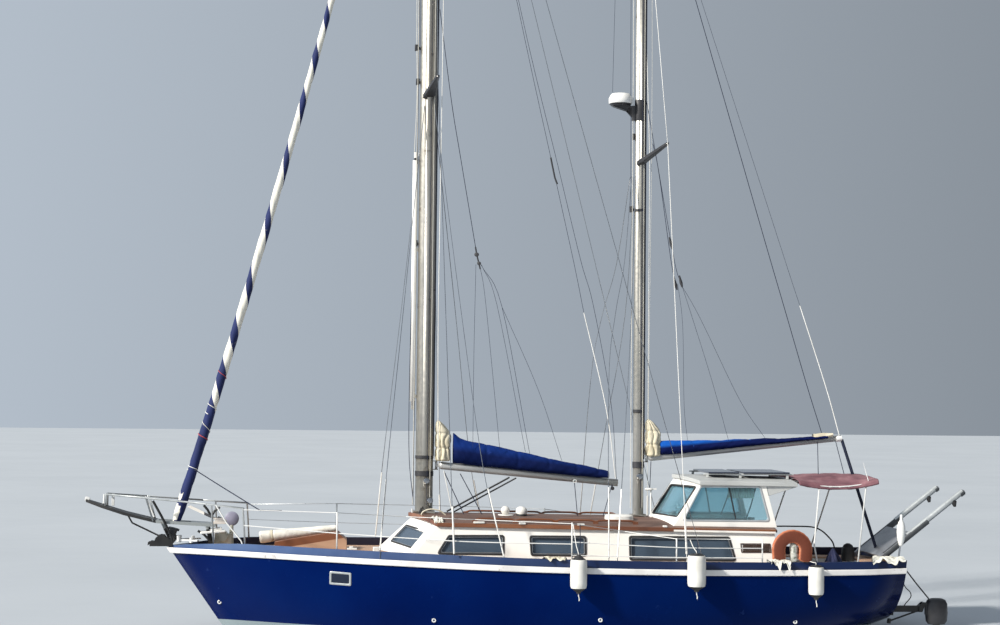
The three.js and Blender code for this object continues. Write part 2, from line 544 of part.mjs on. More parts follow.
// Masts, each an oval tube on a step, with one pair of spreaders, gooseneck lugs [foot, head] and a masthead crane
function mast({ x, top, halfChord, halfWidth }, foot, spreaderRoot, spreaderTip, pivot, lugs) {
  const ring = (z, k) => oval([x, 0, z], V(1, 0, 0), V(0, 1, 0), halfChord * k, halfWidth * k, 20);
  const step = box(x - halfChord - 30, x + halfChord + 30, -halfWidth - 30, halfWidth + 30, foot - 60, foot + 35);
  const spreaders = [-1, 1].map((hand) => taper([x, 0, spreaderRoot],
    [spreaderTip[0], hand * spreaderTip[1], spreaderTip[2]], 38, 16, 8));
  const crane = box(x - halfChord - 60, x + halfChord + 90, -30, 30, top - 60, top + 10);
  const eyes = lugs.map(([z0, z1]) => box(x, pivot + 26, -20, 20, z0, z1));
  return union([loft([ring(foot, 1), ring(top - 1500, 1), ring(top, 0.72)]), step, ...spreaders, crane, ...eyes]);
}
const mastFoot = (x) => ROOF_EDGE + ROOF_SLOPE * x + ROOF_CROWN + ROOF_THICKNESS;
const MAIN_TIP = [-1600, 870, 8640];
const MIZZEN_TIP = [2050, 760, 7690];
const MAIN_LUGS = [[2498, 2510], [2630, 2642]];
const MIZZEN_LUGS = [[2640, 2652], [2762, 2774]];
const onRoof = (form) => form.subtract(underTrunkRoof(ROOF_THICKNESS + GAP));
const pinHole = (x, z0, z1) => taper([x, 0, z0], [x, 0, z1], 9, 9, 12);
add('main_mast', geometry(onRoof(mast(MAIN_MAST, mastFoot(MAIN_MAST.x), 8540, MAIN_TIP, MAIN_PIVOT, MAIN_LUGS))
  .subtract(pinHole(MAIN_PIVOT, 2480, 2660))), SPAR);
add('mizzen_mast', geometry(onRoof(mast(MIZZEN_MAST, mastFoot(MIZZEN_MAST.x), 7480, MIZZEN_TIP, MIZZEN_PIVOT, MIZZEN_LUGS))
  .subtract(pinHole(MIZZEN_PIVOT, 2620, 2790))), SPAR);

// Booms: an oval spar from its toggle to its end, [x, z] of the axis at both
const MAIN_BOOM = { pivot: MAIN_PIVOT, pinZ: [2510 + GAP, 2625], start: [-1452, 2568], end: [1420, 2306], a: 60, b: 42 };
const MIZZEN_BOOM = { pivot: MIZZEN_PIVOT, pinZ: [2652 + GAP, 2757], start: [1930, 2708], end: [5085, 3055], a: 52, b: 38 };
function boom({ pivot, pinZ, start, end, a, b }) {
  const up = V(start[1] - end[1], 0, end[0] - start[0]).normalize();
  const ring = ([x, z], k) => oval([x, 0, z], V(0, 1, 0), up, b * k, a * k, 14);
  const middle = (pinZ[0] + pinZ[1]) / 2;
  const neck = loft([[pivot + 6, 22], [start[0] + 30, 30]].map(([x, half]) => [
    [x, -half * 0.7, middle - half], [x, half * 0.7, middle - half],
    [x, half * 0.7, middle + half], [x, -half * 0.7, middle + half]]));
  return union([loft([ring(start, 0.8), ring([start[0] + 40, start[1] + ((end[1] - start[1]) * 40) / (end[0] - start[0])], 1),
    ring(end, 0.95)]), neck, taper([pivot, 0, pinZ[0]], [pivot, 0, pinZ[1]], 20, 20, 12),
  taper([pivot, 0, pinZ[0] - 13], [pivot, 0, pinZ[1] + 12], 8, 8, 12)]);
}
const mainBoom = boom(MAIN_BOOM);
const mizzenBoom = boom(MIZZEN_BOOM);
add('main_boom', geometry(mainBoom), SPAR);
add('mizzen_boom', geometry(mizzenBoom), SPAR);

// Stowed sails under their covers: [share of the boom's length, height over the boom, half width]
function cover({ start, end, a }, rows) {
  return loft(rows.map(([s, height, half]) => {
    const x = start[0] + s * (end[0] - start[0]);
    const z = start[1] + s * (end[1] - start[1]) + a - 5;
    return Array.from({ length: 12 }, (_, k) => {
      const angle = (2 * Math.PI * k) / 12 - Math.PI / 2;
      return [x, half * Math.cos(angle) * (1 - 0.35 * Math.max(0, Math.sin(angle))), z + (height / 2) * (1 + Math.sin(angle))];
    });
  }));
}
add('main_sail_cover', geometry(cover(MAIN_BOOM, [[0.012, 560, 86], [0.04, 520, 120], [0.12, 380, 140],
  [0.3, 275, 140], [0.55, 200, 125], [0.8, 130, 100], [0.97, 60, 60]]).subtract(mainBoom.translate([0, 0, GAP]))
  .subtract(mainBoom)), CANVAS);
add('mizzen_sail_cover', geometry(cover(MIZZEN_BOOM, [[0.012, 560, 70], [0.045, 470, 105], [0.1, 250, 120],
  [0.3, 215, 120], [0.6, 165, 112], [0.84, 110, 92], [0.97, 50, 52]]).subtract(mizzenBoom.translate([0, 0, GAP]))
  .subtract(mizzenBoom)), CANVAS);

// Furled headsail on its stay, from the drum at the stemhead to below the masthead
const STAY_FOOT = [-5640, 0, 1400];
const STAY_HEAD = [-1880, 0, 15700];
const STAY_SAG = 125;
const onStay = (s) => STAY_FOOT.map((p, k) => (
  p + s * (STAY_HEAD[k] - p) + (k === 0 ? 4 * STAY_SAG * Math.max(0, s) * (1 - s) : 0)
));
// Share of the stay's length, radius of the rolled sail there
const ROLL_STATIONS = [
  [0.017, 78], [0.16, 72], [0.3, 66], [0.45, 58.5], [0.6, 51], [0.75, 43.5], [0.93, 34],
];
add('furled_genoa', geometry(largest(union([
  taper(onStay(-0.00555), onStay(0.05), 9, 9, 8),
  taper(onStay(0.9), onStay(1), 9, 9, 8),
  taper(onStay(0.004), onStay(0.011), 78, 78, 16),
  ...ROLL_STATIONS.slice(1).map(([s, radius], k) => (
    taper(onStay(ROLL_STATIONS[k][0]), onStay(s), ROLL_STATIONS[k][1], radius, 12)
  )),
]))), CANVAS);

// Main stays on each side: place of the foot on the bulwark and how far outboard of its middle, spreader tip
// it bends over or null, head, radius
const STAYS = [
  { name: 'main_shroud', foot: -1314, outboard: 0, tip: MAIN_TIP, head: [-1690, 86, 15640], radius: 6 },
  { name: 'backstay', foot: 2480, outboard: -16, tip: null, head: [-1500, 44, 15850], radius: 5 },
  { name: 'mizzen_shroud', foot: 2210, outboard: 12, tip: MIZZEN_TIP, head: [1750, 62, 12600], radius: 5 },
];
STAYS.forEach(({ name, foot, outboard, tip, head, radius }) => {
  [['port', -1], ['starboard', 1]].forEach(([side, hand]) => {
    const [x, y, z] = onBulwark(foot);
    const run = [[x, y + outboard, z - 10], ...(tip ? [[tip[0], tip[1] + 16 + radius, tip[2]]] : []), head];
    const stay = rails([run.map(([a, b, c]) => [a, hand * b, c])], radius, 6);
    add(`${name}_${side}`, geometry(stay.subtract(overBulwark)), STEEL);
  });
});

// Pole stowed up the fore side of the main mast, with a narrower fitting at each end, held by three clips
const POLE = { x: MAIN_MAST.x - MAIN_MAST.halfChord - 62, foot: 3450, head: 7560, end: 130, radius: 42, clips: [3660, 6000, 7400] };
add('spinnaker_pole', geometry(union([
  taper([POLE.x, 0, POLE.foot + POLE.end], [POLE.x, 0, POLE.head - POLE.end], POLE.radius, POLE.radius, 12),
  taper([POLE.x, 0, POLE.foot], [POLE.x, 0, POLE.head], POLE.radius * 0.55, POLE.radius * 0.55, 12),
  ...POLE.clips.map((z) => box(POLE.x, MAIN_MAST.x - MAIN_MAST.halfChord - GAP, -16, 16, z - 30, z + 30)),
])), FENDER);

// Radar scanner on a bracket before the mizzen mast
add('radar', geometry(union([
  turned(1420, 0, [[0, 8395], [150, 8395], [192, 8440], [192, 8520], [150, 8590], [0, 8605]], 20),
  sidePrism([[1300, 8396], [1660, 8396], [1660, 8180], [1640, 8180], [1560, 8360], [1300, 8380]], -45, 45),
  box(1610, MIZZEN_MAST.x - MIZZEN_MAST.halfChord - GAP, -45, 45, 8160, 8400),
])), FENDER);

// Bowsprit: a plank that rises forward, [x, height of its top, half width]
const SPRIT = [[-6950, 2010, 60], [-6700, 1925, 150], [-6350, 1815, 185], [-5850, 1695, 200], [-4950, 1640, 210]];
const spritPlank = loft(SPRIT.map(([x, z, half]) => [[x, -half, z - 45], [x, half, z - 45], [x, half, z], [x, -half, z]]));
const slot = box(-5830, -5330, -105, 105, 1500, 1800);
const spritLegs = [-1, 1].map((hand) => taper([-4990, hand * 185, 1200], [-5080, hand * 175, 1640], 22, 22, 8));
// The stemhead fitting: a plate over the stem, two cheeks, a roller and a bar, and a strut each side to the sprit
const fitting = union([
  box(-5960, -5610, -75, 75, 1284, 1318),
  ...[-1, 1].map((hand) => sidePrism([[-5990, 1296], [-5985, 1350], [-5890, 1362], [-5868, 1418], [-5795, 1466],
    [-5735, 1460], [-5715, 1425], [-5590, 1420], [-5545, 1392], [-5610, 1314], [-5960, 1314]], hand * 75, hand * 61)),
  taper([-5930, -63, 1335], [-5930, 63, 1335], 34, 34, 14),
  taper([-5820, -63, 1435], [-5820, 63, 1435], 24, 24, 10),
  ...[-1, 1].map((hand) => taper([-5775, hand * 135, 1655], [-5665, hand * 70, 1405], 15, 15, 8)),
]);
const bent = rails([[[-6326, 0, 1790], [-6240, 0, 1640], [-6050, 0, 1550], [-5820, 0, 1440]]], 13);
add('bowsprit', geometry(largest(union([spritPlank.subtract(slot), ...spritLegs, fitting, bent])
  .subtract(standOnDeck)
  .subtract(overBulwark).subtract(bulwark).subtract(strake.translate([-GAP, 0, GAP])).subtract(strake))), BLACK);

// Pulpit: a rail each side from the sprit's end to the first post, with its legs and a bar across the end
const legToBulwark = (x, y, z) => {
  const [, footY, foot] = onBulwark(x + 40);
  return [[x, y, z], [x + 40, footY, foot - 10]];
};
const pulpitSide = [
  [[-6640, 0, 2090], [-6640, 130, 2090], [-6040, 240, 2045], [-5180, 430, 1975], [-4480, 690, 1915]],
  [[-6640, 130, 2090], [-6640, 122, 1880]], [[-6010, 245, 2043], [-5900, 190, 1680]],
  legToBulwark(-4990, 500, 1957), legToBulwark(-4500, 683, 1917),
];
const pulpit = union([1, -1].map((hand) => rails(pulpitSide.map((run) => run
  .map(([x, y, z]) => [x, hand * y, z])), 14))).subtract(spritPlank.translate([0, 0, GAP])).subtract(overBulwark);
add('pulpit', geometry(pulpit), STEEL);

// Guard rail on each side: posts on the bulwark with the upper wire through their heads
const RAIL_POSTS = [{ x: -3060, top: 1892 }, { x: 450, top: 1790 }, { x: 2050, top: 1555 }, { x: 3400, top: 1540 }];
const RAIL_WIRE = [{ x: -3060, z: 1885 }, { x: -2030, z: 1850 }, { x: -1000, z: 1822 }, { x: 450, z: 1775 },
  { x: 1250, z: 1660 }, { x: 2050, z: 1548 }, { x: 3400, z: 1532 }];
[['port', -1], ['starboard', 1]].forEach(([side, hand]) => {
  const posts = RAIL_POSTS.map(({ x, top }) => {
    const [, y, z] = onBulwark(x);
    return taper([x, hand * y, z - 10], [x, hand * y, top], 12, 12, 8);
  });
  const wire = [[-4490, hand * 686, 1895], ...RAIL_WIRE.map(({ x, z }) => [x, hand * onBulwark(x)[1], z])];
  add(`guard_rail_${side}`, geometry(largest(union([...posts, rails([wire], 5, 6)]).subtract(overBulwark)
    .subtract(pulpit.translate([GAP, 0, 0])).subtract(pulpit))), STEEL);
});

// Windlass on the foredeck, and the anchor stowed against the pulpit on the sprit's port edge
add('windlass', geometry(union([
  box(-4960, -4700, -70, 70, 1200, 1480), taper([-4830, -120, 1440], [-4830, 120, 1440], 78, 78, 16),
  box(-4990, -4670, -95, 95, 1200, 1300),
]).subtract(standOnDeck)), FENDER);
add('anchor', geometry(union([
  sidePrism([[-5380, 1900], [-5330, 1925], [-4860, 1700], [-4860, 1660]], -172, -150),
  sidePrism([[-5000, 1641], [-4780, 1641], [-4770, 1700], [-4900, 1760]], -205, -120),
]).subtract(spritPlank.translate([0, 0, GAP]))), BLACK);

// Low teak hatch on the foredeck with a rolled awning lashed along it
const ROLL = { fore: [-4280, 0, 1424], aft: [-3040, 0, 1577], foreRadius: 100, aftRadius: 45 };
const roll = taper(ROLL.fore, ROLL.aft, ROLL.foreRadius, ROLL.aftRadius, 16);
add('foredeck_hatch', geometry(sidePrism([[-4020, 1200], [-2900, 1200], [-2900, 1400], [-3060, 1535], [-4020, 1375]],
  -280, 280).subtract(standOnDeck).subtract(roll.translate([0, 0, -GAP]))
  .subtract(box(-4100, -3000, -110, 110, 1450, 1700))), TEAK);
add('foredeck_roll', geometry(roll), FENDER);

// Bimini over the cockpit: a sheet that sags between its corners, on a frame each side
const BIMINI = { fore: 4130, aft: 5420, edge: 2388, crown: 36, half: 950, sag: 88, thick: 22 };
const biminiUnder = (x, y) => {
  const s = (x - BIMINI.fore) / (BIMINI.aft - BIMINI.fore);
  const across = (y / BIMINI.half) ** 2;
  return BIMINI.edge + 30 * s + BIMINI.crown * (1 - across) - BIMINI.sag * 4 * s * (1 - s) * across;
};
const underBimini = (lift) => loft(Array.from({ length: 9 }, (_, i) => {
  const x = BIMINI.fore + ((BIMINI.aft - BIMINI.fore) * i) / 8;
  const ys = Array.from({ length: 9 }, (__, k) => -BIMINI.half + (BIMINI.half * k) / 4);
  return [[x, -BIMINI.half, 1800], ...ys.map((y) => [x, y, biminiUnder(x, y) + lift]), [x, BIMINI.half, 1800]];
}));
const biminiCloth = underBimini(BIMINI.thick).subtract(underBimini(0));
add('bimini_cloth', geometry(biminiCloth), [0xc98a86, 0.9, 0]);
const biminiBow = (x) => [-1, -0.75, -0.5, -0.25, 0, 0.25, 0.5, 0.75, 1].map((k) => {
  const y = k * (BIMINI.half - 25);
  return [x, y, biminiUnder(x, y) - 13 - GAP];
});
const biminiSide = (hand) => {
  const y = hand * (BIMINI.half - 25);
  const bar = [4380, 4467, 4620, 4775, 4930, 5080, 5223, 5330].map((x) => [x, y, biminiUnder(x, y) - 13 - GAP]);
  const [, foreY, foreZ] = onBulwark(4290);
  const [, aftY, aftZ] = onBulwark(4960);
  return [bar, [bar[1], [4272, hand * 1330, 1430], [4290, hand * foreY, foreZ - 10]],
    [bar[6], [4960, hand * aftY, aftZ - 10]]];
};
add('bimini_frame', geometry(rails([biminiBow(4467), biminiBow(5223), ...biminiSide(-1), ...biminiSide(1)], 13)
  .subtract(biminiCloth.translate([0, 0, -GAP])).subtract(biminiCloth).subtract(overBulwark)), STEEL);

// Davits over the stern, with the folded boarding panel laid across them
const onDavit = (s) => [5480 + s * 1450, 1100 + s * 1135];
const arm = (y) => {
  const at = (s, half) => {
    const [x, z] = onDavit(s);
    return [[x + half * 0.61, y - half, z - half * 0.79], [x + half * 0.61, y + half, z - half * 0.79],
      [x - half * 0.61, y + half, z + half * 0.79], [x - half * 0.61, y - half, z + half * 0.79]];
  };
  return union([loft([at(-0.05, 36), at(0.55, 36)]), loft([at(0.5, 26), at(1, 26)])]);
};
const panel = loft([0.06, 0.4].map((s) => {
  const [x, z] = onDavit(s);
  return [[x + 6, -640, z - 8], [x + 6, 640, z - 8], [x - 6, 640, z + 8], [x - 6, -640, z + 8]]
    .map(([a, b, c]) => [a - 20, b, c + 26]);
}));
add('davits', geometry(union([arm(-600), arm(600), panel]).subtract(standOnDeck)), STEEL);

// Horseshoe lifebuoy standing on the port bulwark
const BUOY = { x: 3878, y: -1502, outer: 318, inner: 112, half: 50, shoulder: 190 };
const arch = (radius, lower) => {
  const foot = onBulwark(BUOY.x)[2] - 10;
  const round = Array.from({ length: 17 }, (_, k) => {
    const angle = (Math.PI * k) / 16;
    return [BUOY.x - radius * Math.cos(angle), foot + BUOY.shoulder - lower + radius * Math.sin(angle)];
  });
  return [[BUOY.x - radius, foot - 5 * lower], ...round, [BUOY.x + radius, foot - 5 * lower]];
};
add('horseshoe_buoy', geometry(sidePrism(arch(BUOY.outer, 0), BUOY.y - BUOY.half, BUOY.y + BUOY.half)
  .subtract(sidePrism(arch(BUOY.inner, 20), BUOY.y - 200, BUOY.y + 200))
  .subtract(overBulwark).subtract(box(3400, 4400, -1600, -1400, 1000, onBulwark(BUOY.x)[2] + GAP))), [0xc4502e, 0.6, 0]);

// Fenders hung over the port side, pressed a little flat by the strake: [x, foot, head, radius]
const FENDER_SQUASH = 4;
[[522, 752, 1330, 125], [2312, 775, 1350, 138], [4205, 630, 1160, 118]].forEach(([x, foot, head, radius], k) => {
  const y = -(sideAt(x).beam + STRAKE_PROUD + radius - FENDER_SQUASH);
  add(`fender_${k + 1}`, geometry(turned(x, y, [[0, foot], [radius * 0.35, foot + 8], [radius * 0.8, foot + 40],
    [radius, foot + 95], [radius, head - 95], [radius * 0.8, head - 40], [radius * 0.35, head - 8], [0, head]], 20)
    .subtract(strake.translate([0, -GAP, 0])).subtract(strake)), FENDER);
});

// Auxiliary outboard on a transom bracket; it tilts on a pin between the bracket's two cheeks
const MOTOR = { x: 6395, y: -800, shaftZ: -450, tilt: [6178, 474] };
const transomAt = (z) => xAt(TRANSOM, z);
const pad = (high, low, thick, half) => sidePrism([[transomAt(high) - 20, high], [transomAt(low) - 20, low],
  [transomAt(low) + thick, low], [transomAt(high) + thick, high]], MOTOR.y - half, MOTOR.y + half);
const cheeks = sidePrism([[6100, 345], [6150, 345], [6202, 462], [6202, 484], [6190, 498], [6166, 498], [6100, 440]],
  MOTOR.y - 60, MOTOR.y + 60).subtract(box(6125, 6300, MOTOR.y - 45, MOTOR.y + 45, 300, 600));
const tiltPin = (radius) => taper([MOTOR.tilt[0], MOTOR.y - 61, MOTOR.tilt[1]], [MOTOR.tilt[0], MOTOR.y + 61, MOTOR.tilt[1]],
  radius, radius, 12);
add('outboard_bracket', geometry(union([
  pad(540, 300, 22, 90), pad(240, 165, 16, 40), cheeks,
  box(5660, 6130, MOTOR.y - 30, MOTOR.y + 30, 345, 440), taper([5630, MOTOR.y, 200], [6125, MOTOR.y, 370], 14, 14, 8),
]).subtract(tiltPin(9)).subtract(deckForm.translate([GAP, 0, 0]))), BLACK);

const cowl = loft([[150, 0.72], [200, 0.92], [330, 1], [470, 0.96], [530, 0.8], [556, 0.45]].map(([z, k]) => oval(
  [MOTOR.x, MOTOR.y, z], V(1, 0, 0), V(0, 1, 0), 186 * k, 118 * k, 16)));
const leg = loft([[160, 62, 40], [-420, 52, 26]].map(([z, a, b]) => oval(
  [MOTOR.x, MOTOR.y, z], V(1, 0, 0), V(0, 1, 0), a, b, 12)));
add('outboard', geometry(union([cowl, leg, tiltPin(8),
  taper([MOTOR.x - 105, MOTOR.y, MOTOR.shaftZ], [MOTOR.x + 75, MOTOR.y, MOTOR.shaftZ], 20, 42, 12),
  sidePrism([[6345, -470], [6445, -470], [6430, -620], [6400, -630]], MOTOR.y - 8, MOTOR.y + 8),
  box(6330, 6525, MOTOR.y - 70, MOTOR.y + 70, -340, -330),
  box(6160, 6262, MOTOR.y - 40, MOTOR.y + 40, 458, 490), box(6214, 6262, MOTOR.y - 40, MOTOR.y + 40, 300, 470),
])), BLACK);
const motorBlade = (turn) => {
  const rings = [0.2, 0.6, 0.9, 1].map((s, k) => oval([0, 0, 98 * s], V(0.7, 0.7, 0), V(0.7, -0.7, 0),
    [22, 36, 28, 11][k], 4 - 2 * s, 8));
  const toShaft = new THREE.Matrix4().makeRotationX(turn).setPosition(MOTOR.x + 107, MOTOR.y, MOTOR.shaftZ);
  return loft(rings.map((ring) => ring.map((p) => V(...p).applyMatrix4(toShaft).toArray())));
};
add('outboard_propeller', geometry(union([
  taper([MOTOR.x + 75 + GAP, MOTOR.y, MOTOR.shaftZ], [MOTOR.x + 145, MOTOR.y, MOTOR.shaftZ], 38, 22, 12),
  ...[0, 1, 2].map((k) => motorBlade((k * 2 * Math.PI) / 3)),
])), BLACK);

export default yacht;
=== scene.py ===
import json
import math
import bmesh
import bpy
import numpy as np
from mathutils import Matrix, Vector
from mathutils.bvhtree import BVHTree

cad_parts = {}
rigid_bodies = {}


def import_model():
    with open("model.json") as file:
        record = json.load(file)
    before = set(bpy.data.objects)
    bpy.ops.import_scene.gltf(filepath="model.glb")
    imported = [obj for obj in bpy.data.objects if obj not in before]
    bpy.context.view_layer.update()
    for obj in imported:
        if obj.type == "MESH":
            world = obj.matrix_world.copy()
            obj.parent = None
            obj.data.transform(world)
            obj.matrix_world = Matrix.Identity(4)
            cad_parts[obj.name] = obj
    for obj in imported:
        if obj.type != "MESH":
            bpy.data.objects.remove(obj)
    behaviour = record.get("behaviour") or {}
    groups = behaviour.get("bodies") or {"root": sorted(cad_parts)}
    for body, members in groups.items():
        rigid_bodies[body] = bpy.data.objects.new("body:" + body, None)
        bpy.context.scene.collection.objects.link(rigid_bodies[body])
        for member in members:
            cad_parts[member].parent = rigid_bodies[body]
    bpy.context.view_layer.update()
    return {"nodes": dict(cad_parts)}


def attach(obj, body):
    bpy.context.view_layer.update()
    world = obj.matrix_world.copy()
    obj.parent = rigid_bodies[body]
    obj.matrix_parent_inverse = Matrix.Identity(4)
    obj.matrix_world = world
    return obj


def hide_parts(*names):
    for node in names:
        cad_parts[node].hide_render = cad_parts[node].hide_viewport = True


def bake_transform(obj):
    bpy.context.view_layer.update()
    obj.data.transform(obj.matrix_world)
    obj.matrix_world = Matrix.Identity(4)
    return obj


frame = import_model()


# Camera, light and floor. The view is from the port side, a little ahead of abeam, 3.65 m over the water
# and 28 m off, tilted up by 2.8 degrees and rolled by 0.6. The floor lies at the waterline, so it hides
# what is under water. Light is one broad key from ahead, above and to port, in a pale room, darker aft.
heading, tilt, roll = math.radians(5.5), math.atan(85.3 / 1750), math.radians(0.6)
look = Vector((math.sin(heading) * math.cos(tilt), math.cos(heading) * math.cos(tilt), math.sin(tilt)))
level = Vector((math.cos(heading), -math.sin(heading), 0))
above = level.cross(look)
right = level * math.cos(roll) + above * math.sin(roll)
upright = above * math.cos(roll) - level * math.sin(roll)
camera = bpy.data.objects.new("camera", bpy.data.cameras.new("camera"))
camera.data.lens, camera.data.sensor_width = 63, 36
camera.data.clip_end = 500
turned = Matrix((right, upright, -look)).transposed().to_4x4()
camera.matrix_world = Matrix.Translation((-3.19, -27.87, 3.65)) @ turned
bpy.context.collection.objects.link(camera)
bpy.context.scene.camera = camera

key = bpy.data.objects.new("key", bpy.data.lights.new("key", "SUN"))
key.data.energy, key.data.angle, key.data.color = 5.2, math.radians(5), (1.0, 0.955, 0.88)
key.rotation_euler = Vector((-0.80, -0.46, 0.58)).to_track_quat("Z", "Y").to_euler()
bpy.context.collection.objects.link(key)
room = bpy.data.worlds.new("room")
bpy.context.scene.world = room
room.use_nodes = True
bpy.context.scene.view_settings.view_transform = "Standard"


def shader_nodes(tree, *kinds):
    """New shader nodes of the given kinds in a tree."""
    return [tree.nodes.new(f"ShaderNode{kind}") for kind in kinds]


def put(node, values):
    """Sets a node's inputs, each named with its value."""
    for name, value in values.items():
        node.inputs[name].default_value = value


def mapped(node, start, end, low=0.0, high=1.0):
    """Sets a range node: what runs from start to end at its input runs from low to high at its output."""
    put(node, {"From Min": start, "From Max": end, "To Min": low, "To Max": high})


def feed(tree, *pairs):
    """Links in a tree, each from an output to the input that it feeds."""
    for output, target in pairs:
        tree.links.new(output, target)


background = room.node_tree.nodes["Background"]
put(background, {"Color": (0.74, 0.84, 0.96, 1)})
toward, toward_parts, fall = shader_nodes(room.node_tree, "TexCoord", "SeparateXYZ", "MapRange")
mapped(fall, -0.9, 0.8, 0.95, 0.14)
feed(room.node_tree, (toward.outputs["Generated"], toward_parts.inputs[0]),
     (toward_parts.outputs[0], fall.inputs["Value"]),
     (fall.outputs["Result"], background.inputs["Strength"]))


def finish(name, tones, size, rough, metal=0.0, coat=0.0, relief=0.0, grain=None, stretch=(1, 1, 1)):
    """Finish whose colour drifts between the tones with a noise of the given size in metres, stretched
    along the axes, whose roughness drifts between two values, and whose relief is the depth in metres of a
    finer noise. The tones and the roughness run over the span in which most of a noise's values lie."""
    usual = (0.3, 0.7)
    made = bpy.data.materials.new(name)
    made.use_nodes = True
    tree = made.node_tree
    shader = tree.nodes["Principled BSDF"]
    put(shader, {"Metallic": metal, "Coat Weight": coat, "Coat Roughness": 0.08})
    place, scaled, drift, ramp, fine, spread, bump = shader_nodes(
        tree, "TexCoord", "Mapping", "TexNoise", "ValToRGB", "TexNoise", "MapRange", "Bump")
    put(scaled, {"Scale": [s / size for s in stretch]})
    put(drift, {"Scale": 1.0, "Detail": 6.0})
    put(fine, {"Scale": 1 / (grain or size / 6), "Detail": 5.0})
    put(bump, {"Distance": relief})
    mapped(spread, *usual, *rough)
    while len(ramp.color_ramp.elements) < len(tones):
        ramp.color_ramp.elements.new(0.5)
    for stop, element, tone in zip(np.linspace(*usual, len(tones)), ramp.color_ramp.elements, tones):
        element.position, element.color = stop, (*tone, 1)
    feed(tree, (place.outputs["Object"], scaled.inputs["Vector"]),
         (scaled.outputs["Vector"], drift.inputs["Vector"]), (drift.outputs["Fac"], ramp.inputs["Fac"]),
         (ramp.outputs["Color"], shader.inputs["Base Color"]),
         (place.outputs["Object"], fine.inputs["Vector"]), (fine.outputs["Fac"], spread.inputs["Value"]),
         (spread.outputs["Result"], shader.inputs["Roughness"]),
         (fine.outputs["Fac"], bump.inputs["Height"]))
    if relief:
        feed(tree, (bump.outputs["Normal"], shader.inputs["Normal"]))
    return made


def grid(rows, cols, wrap=True):
    """Quads of a grid of points: each joins a point, its neighbour in the row and two in the next row."""
    r, c = np.arange(rows - 1)[:, None], np.arange(cols if wrap else cols - 1)[None]
    after = (c + 1) % cols
    return np.stack([r * cols + c, r * cols + after, (r + 1) * cols + after, (r + 1) * cols + c],
                    -1).reshape(-1, 4)


def softened(made, radius, segments, angle):
    """Rounds the edges that turn by more than an angle in degrees, by a radius in metres."""
    bevel = made.modifiers.new("round", "BEVEL")
    bevel.width, bevel.segments, bevel.limit_method = radius, segments, "ANGLE"
    bevel.angle_limit = math.radians(angle)


def piece(name, form, look_of, body="hull", uv=None, sharp=40, round_by=0.0):
    """A mesh from a form, which is its points, its quads and its triangles, riding on a body; it is smooth
    where faces meet at less than an angle in degrees, and other edges may be rounded by a radius."""
    points, quads, tris = form
    mesh = bpy.data.meshes.new(name)
    mesh.from_pydata(points.tolist(), [], quads.tolist() + tris.tolist())
    mesh.shade_smooth()
    mesh.set_sharp_from_angle(angle=math.radians(sharp))
    if uv is not None:
        corners = np.empty(len(mesh.loops), int)
        mesh.loops.foreach_get("vertex_index", corners)
        mesh.uv_layers.new(name="along").data.foreach_set("uv", uv[corners].ravel().astype(np.float32))
    made = bpy.data.objects.new(name, mesh)
    bpy.context.collection.objects.link(made)
    made.data.materials.append(look_of)
    if round_by:
        softened(made, round_by, 2, sharp)
    if body:
        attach(made, body)
    return made


NO_TRIS = np.zeros((0, 3), int)
floor_size = 160
floor_points = np.array([[a, b, 0.0] for a in (-floor_size, floor_size) for b in (-floor_size, floor_size)])
floor_paint = finish("floor_paint", [(0.44, 0.47, 0.50), (0.48, 0.51, 0.54)], size=6, rough=(0.55, 0.65))
floor = piece("floor", (floor_points, np.array([[0, 2, 3, 1]]), NO_TRIS), floor_paint, body=None)


# Hull, glass-fibre in dark blue gloss with a pale boot stripe and dark antifouling. Its form is the CAD
# solid, welded and shaded smooth over the fair surfaces, with the edges left crisp. The insides of the
# saloon and of the cockpit, which are faces of the same solid, have tones of their own.
def dress(node, look_of, smooth_to=35, round_by=0.0, steps=2):
    """The CAD node's own surface, its doubles merged, smooth wherever faces meet at less than an angle in
    degrees, and its other edges rounded by a radius in metres."""
    source = frame["nodes"][node]
    mesh = source.data.copy()
    mesh.transform(source.matrix_world)
    mesh.materials.clear()
    welded = bmesh.new()
    welded.from_mesh(mesh)
    bmesh.ops.remove_doubles(welded, verts=welded.verts, dist=2e-5)
    if round_by:
        bmesh.ops.dissolve_limit(welded, angle_limit=math.radians(1.0), verts=welded.verts,
                                 edges=welded.edges)
    welded.to_mesh(mesh)
    welded.free()
    mesh.shade_smooth()
    mesh.set_sharp_from_angle(angle=math.radians(smooth_to))
    made = bpy.data.objects.new(node + "_dressed", mesh)
    bpy.context.collection.objects.link(made)
    mesh.materials.append(look_of)
    if round_by:
        softened(made, round_by, steps, smooth_to)
    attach(made, source.parent.name.replace("body:", ""))
    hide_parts(node)
    return made


def blended(made, mask, target, source, ends, value):
    """Lays a value over what feeds one of the shader's inputs, where the mask is high. The ends are the
    mixing node's inputs for the old and the new value, and its output, by number."""
    tree = made.node_tree
    mix, = shader_nodes(tree, "Mix")
    mix.data_type = source
    mix.inputs[ends[1]].default_value = value
    wanted = tree.nodes["Principled BSDF"].inputs[target]
    feed(tree, (mask, mix.inputs["Factor"]), (wanted.links[0].from_socket, mix.inputs[ends[0]]),
         (mix.outputs[ends[2]], wanted))


def over(made, mask, colour, gloss=None):
    """A second colour laid over a finish where the mask, a socket from 0 to 1, is high, and with it a
    roughness if gloss gives one."""
    blended(made, mask, "Base Color", "RGBA", (6, 7, 2), (*colour, 1))
    if gloss is not None:
        blended(made, mask, "Roughness", "FLOAT", (2, 3, 0), gloss)


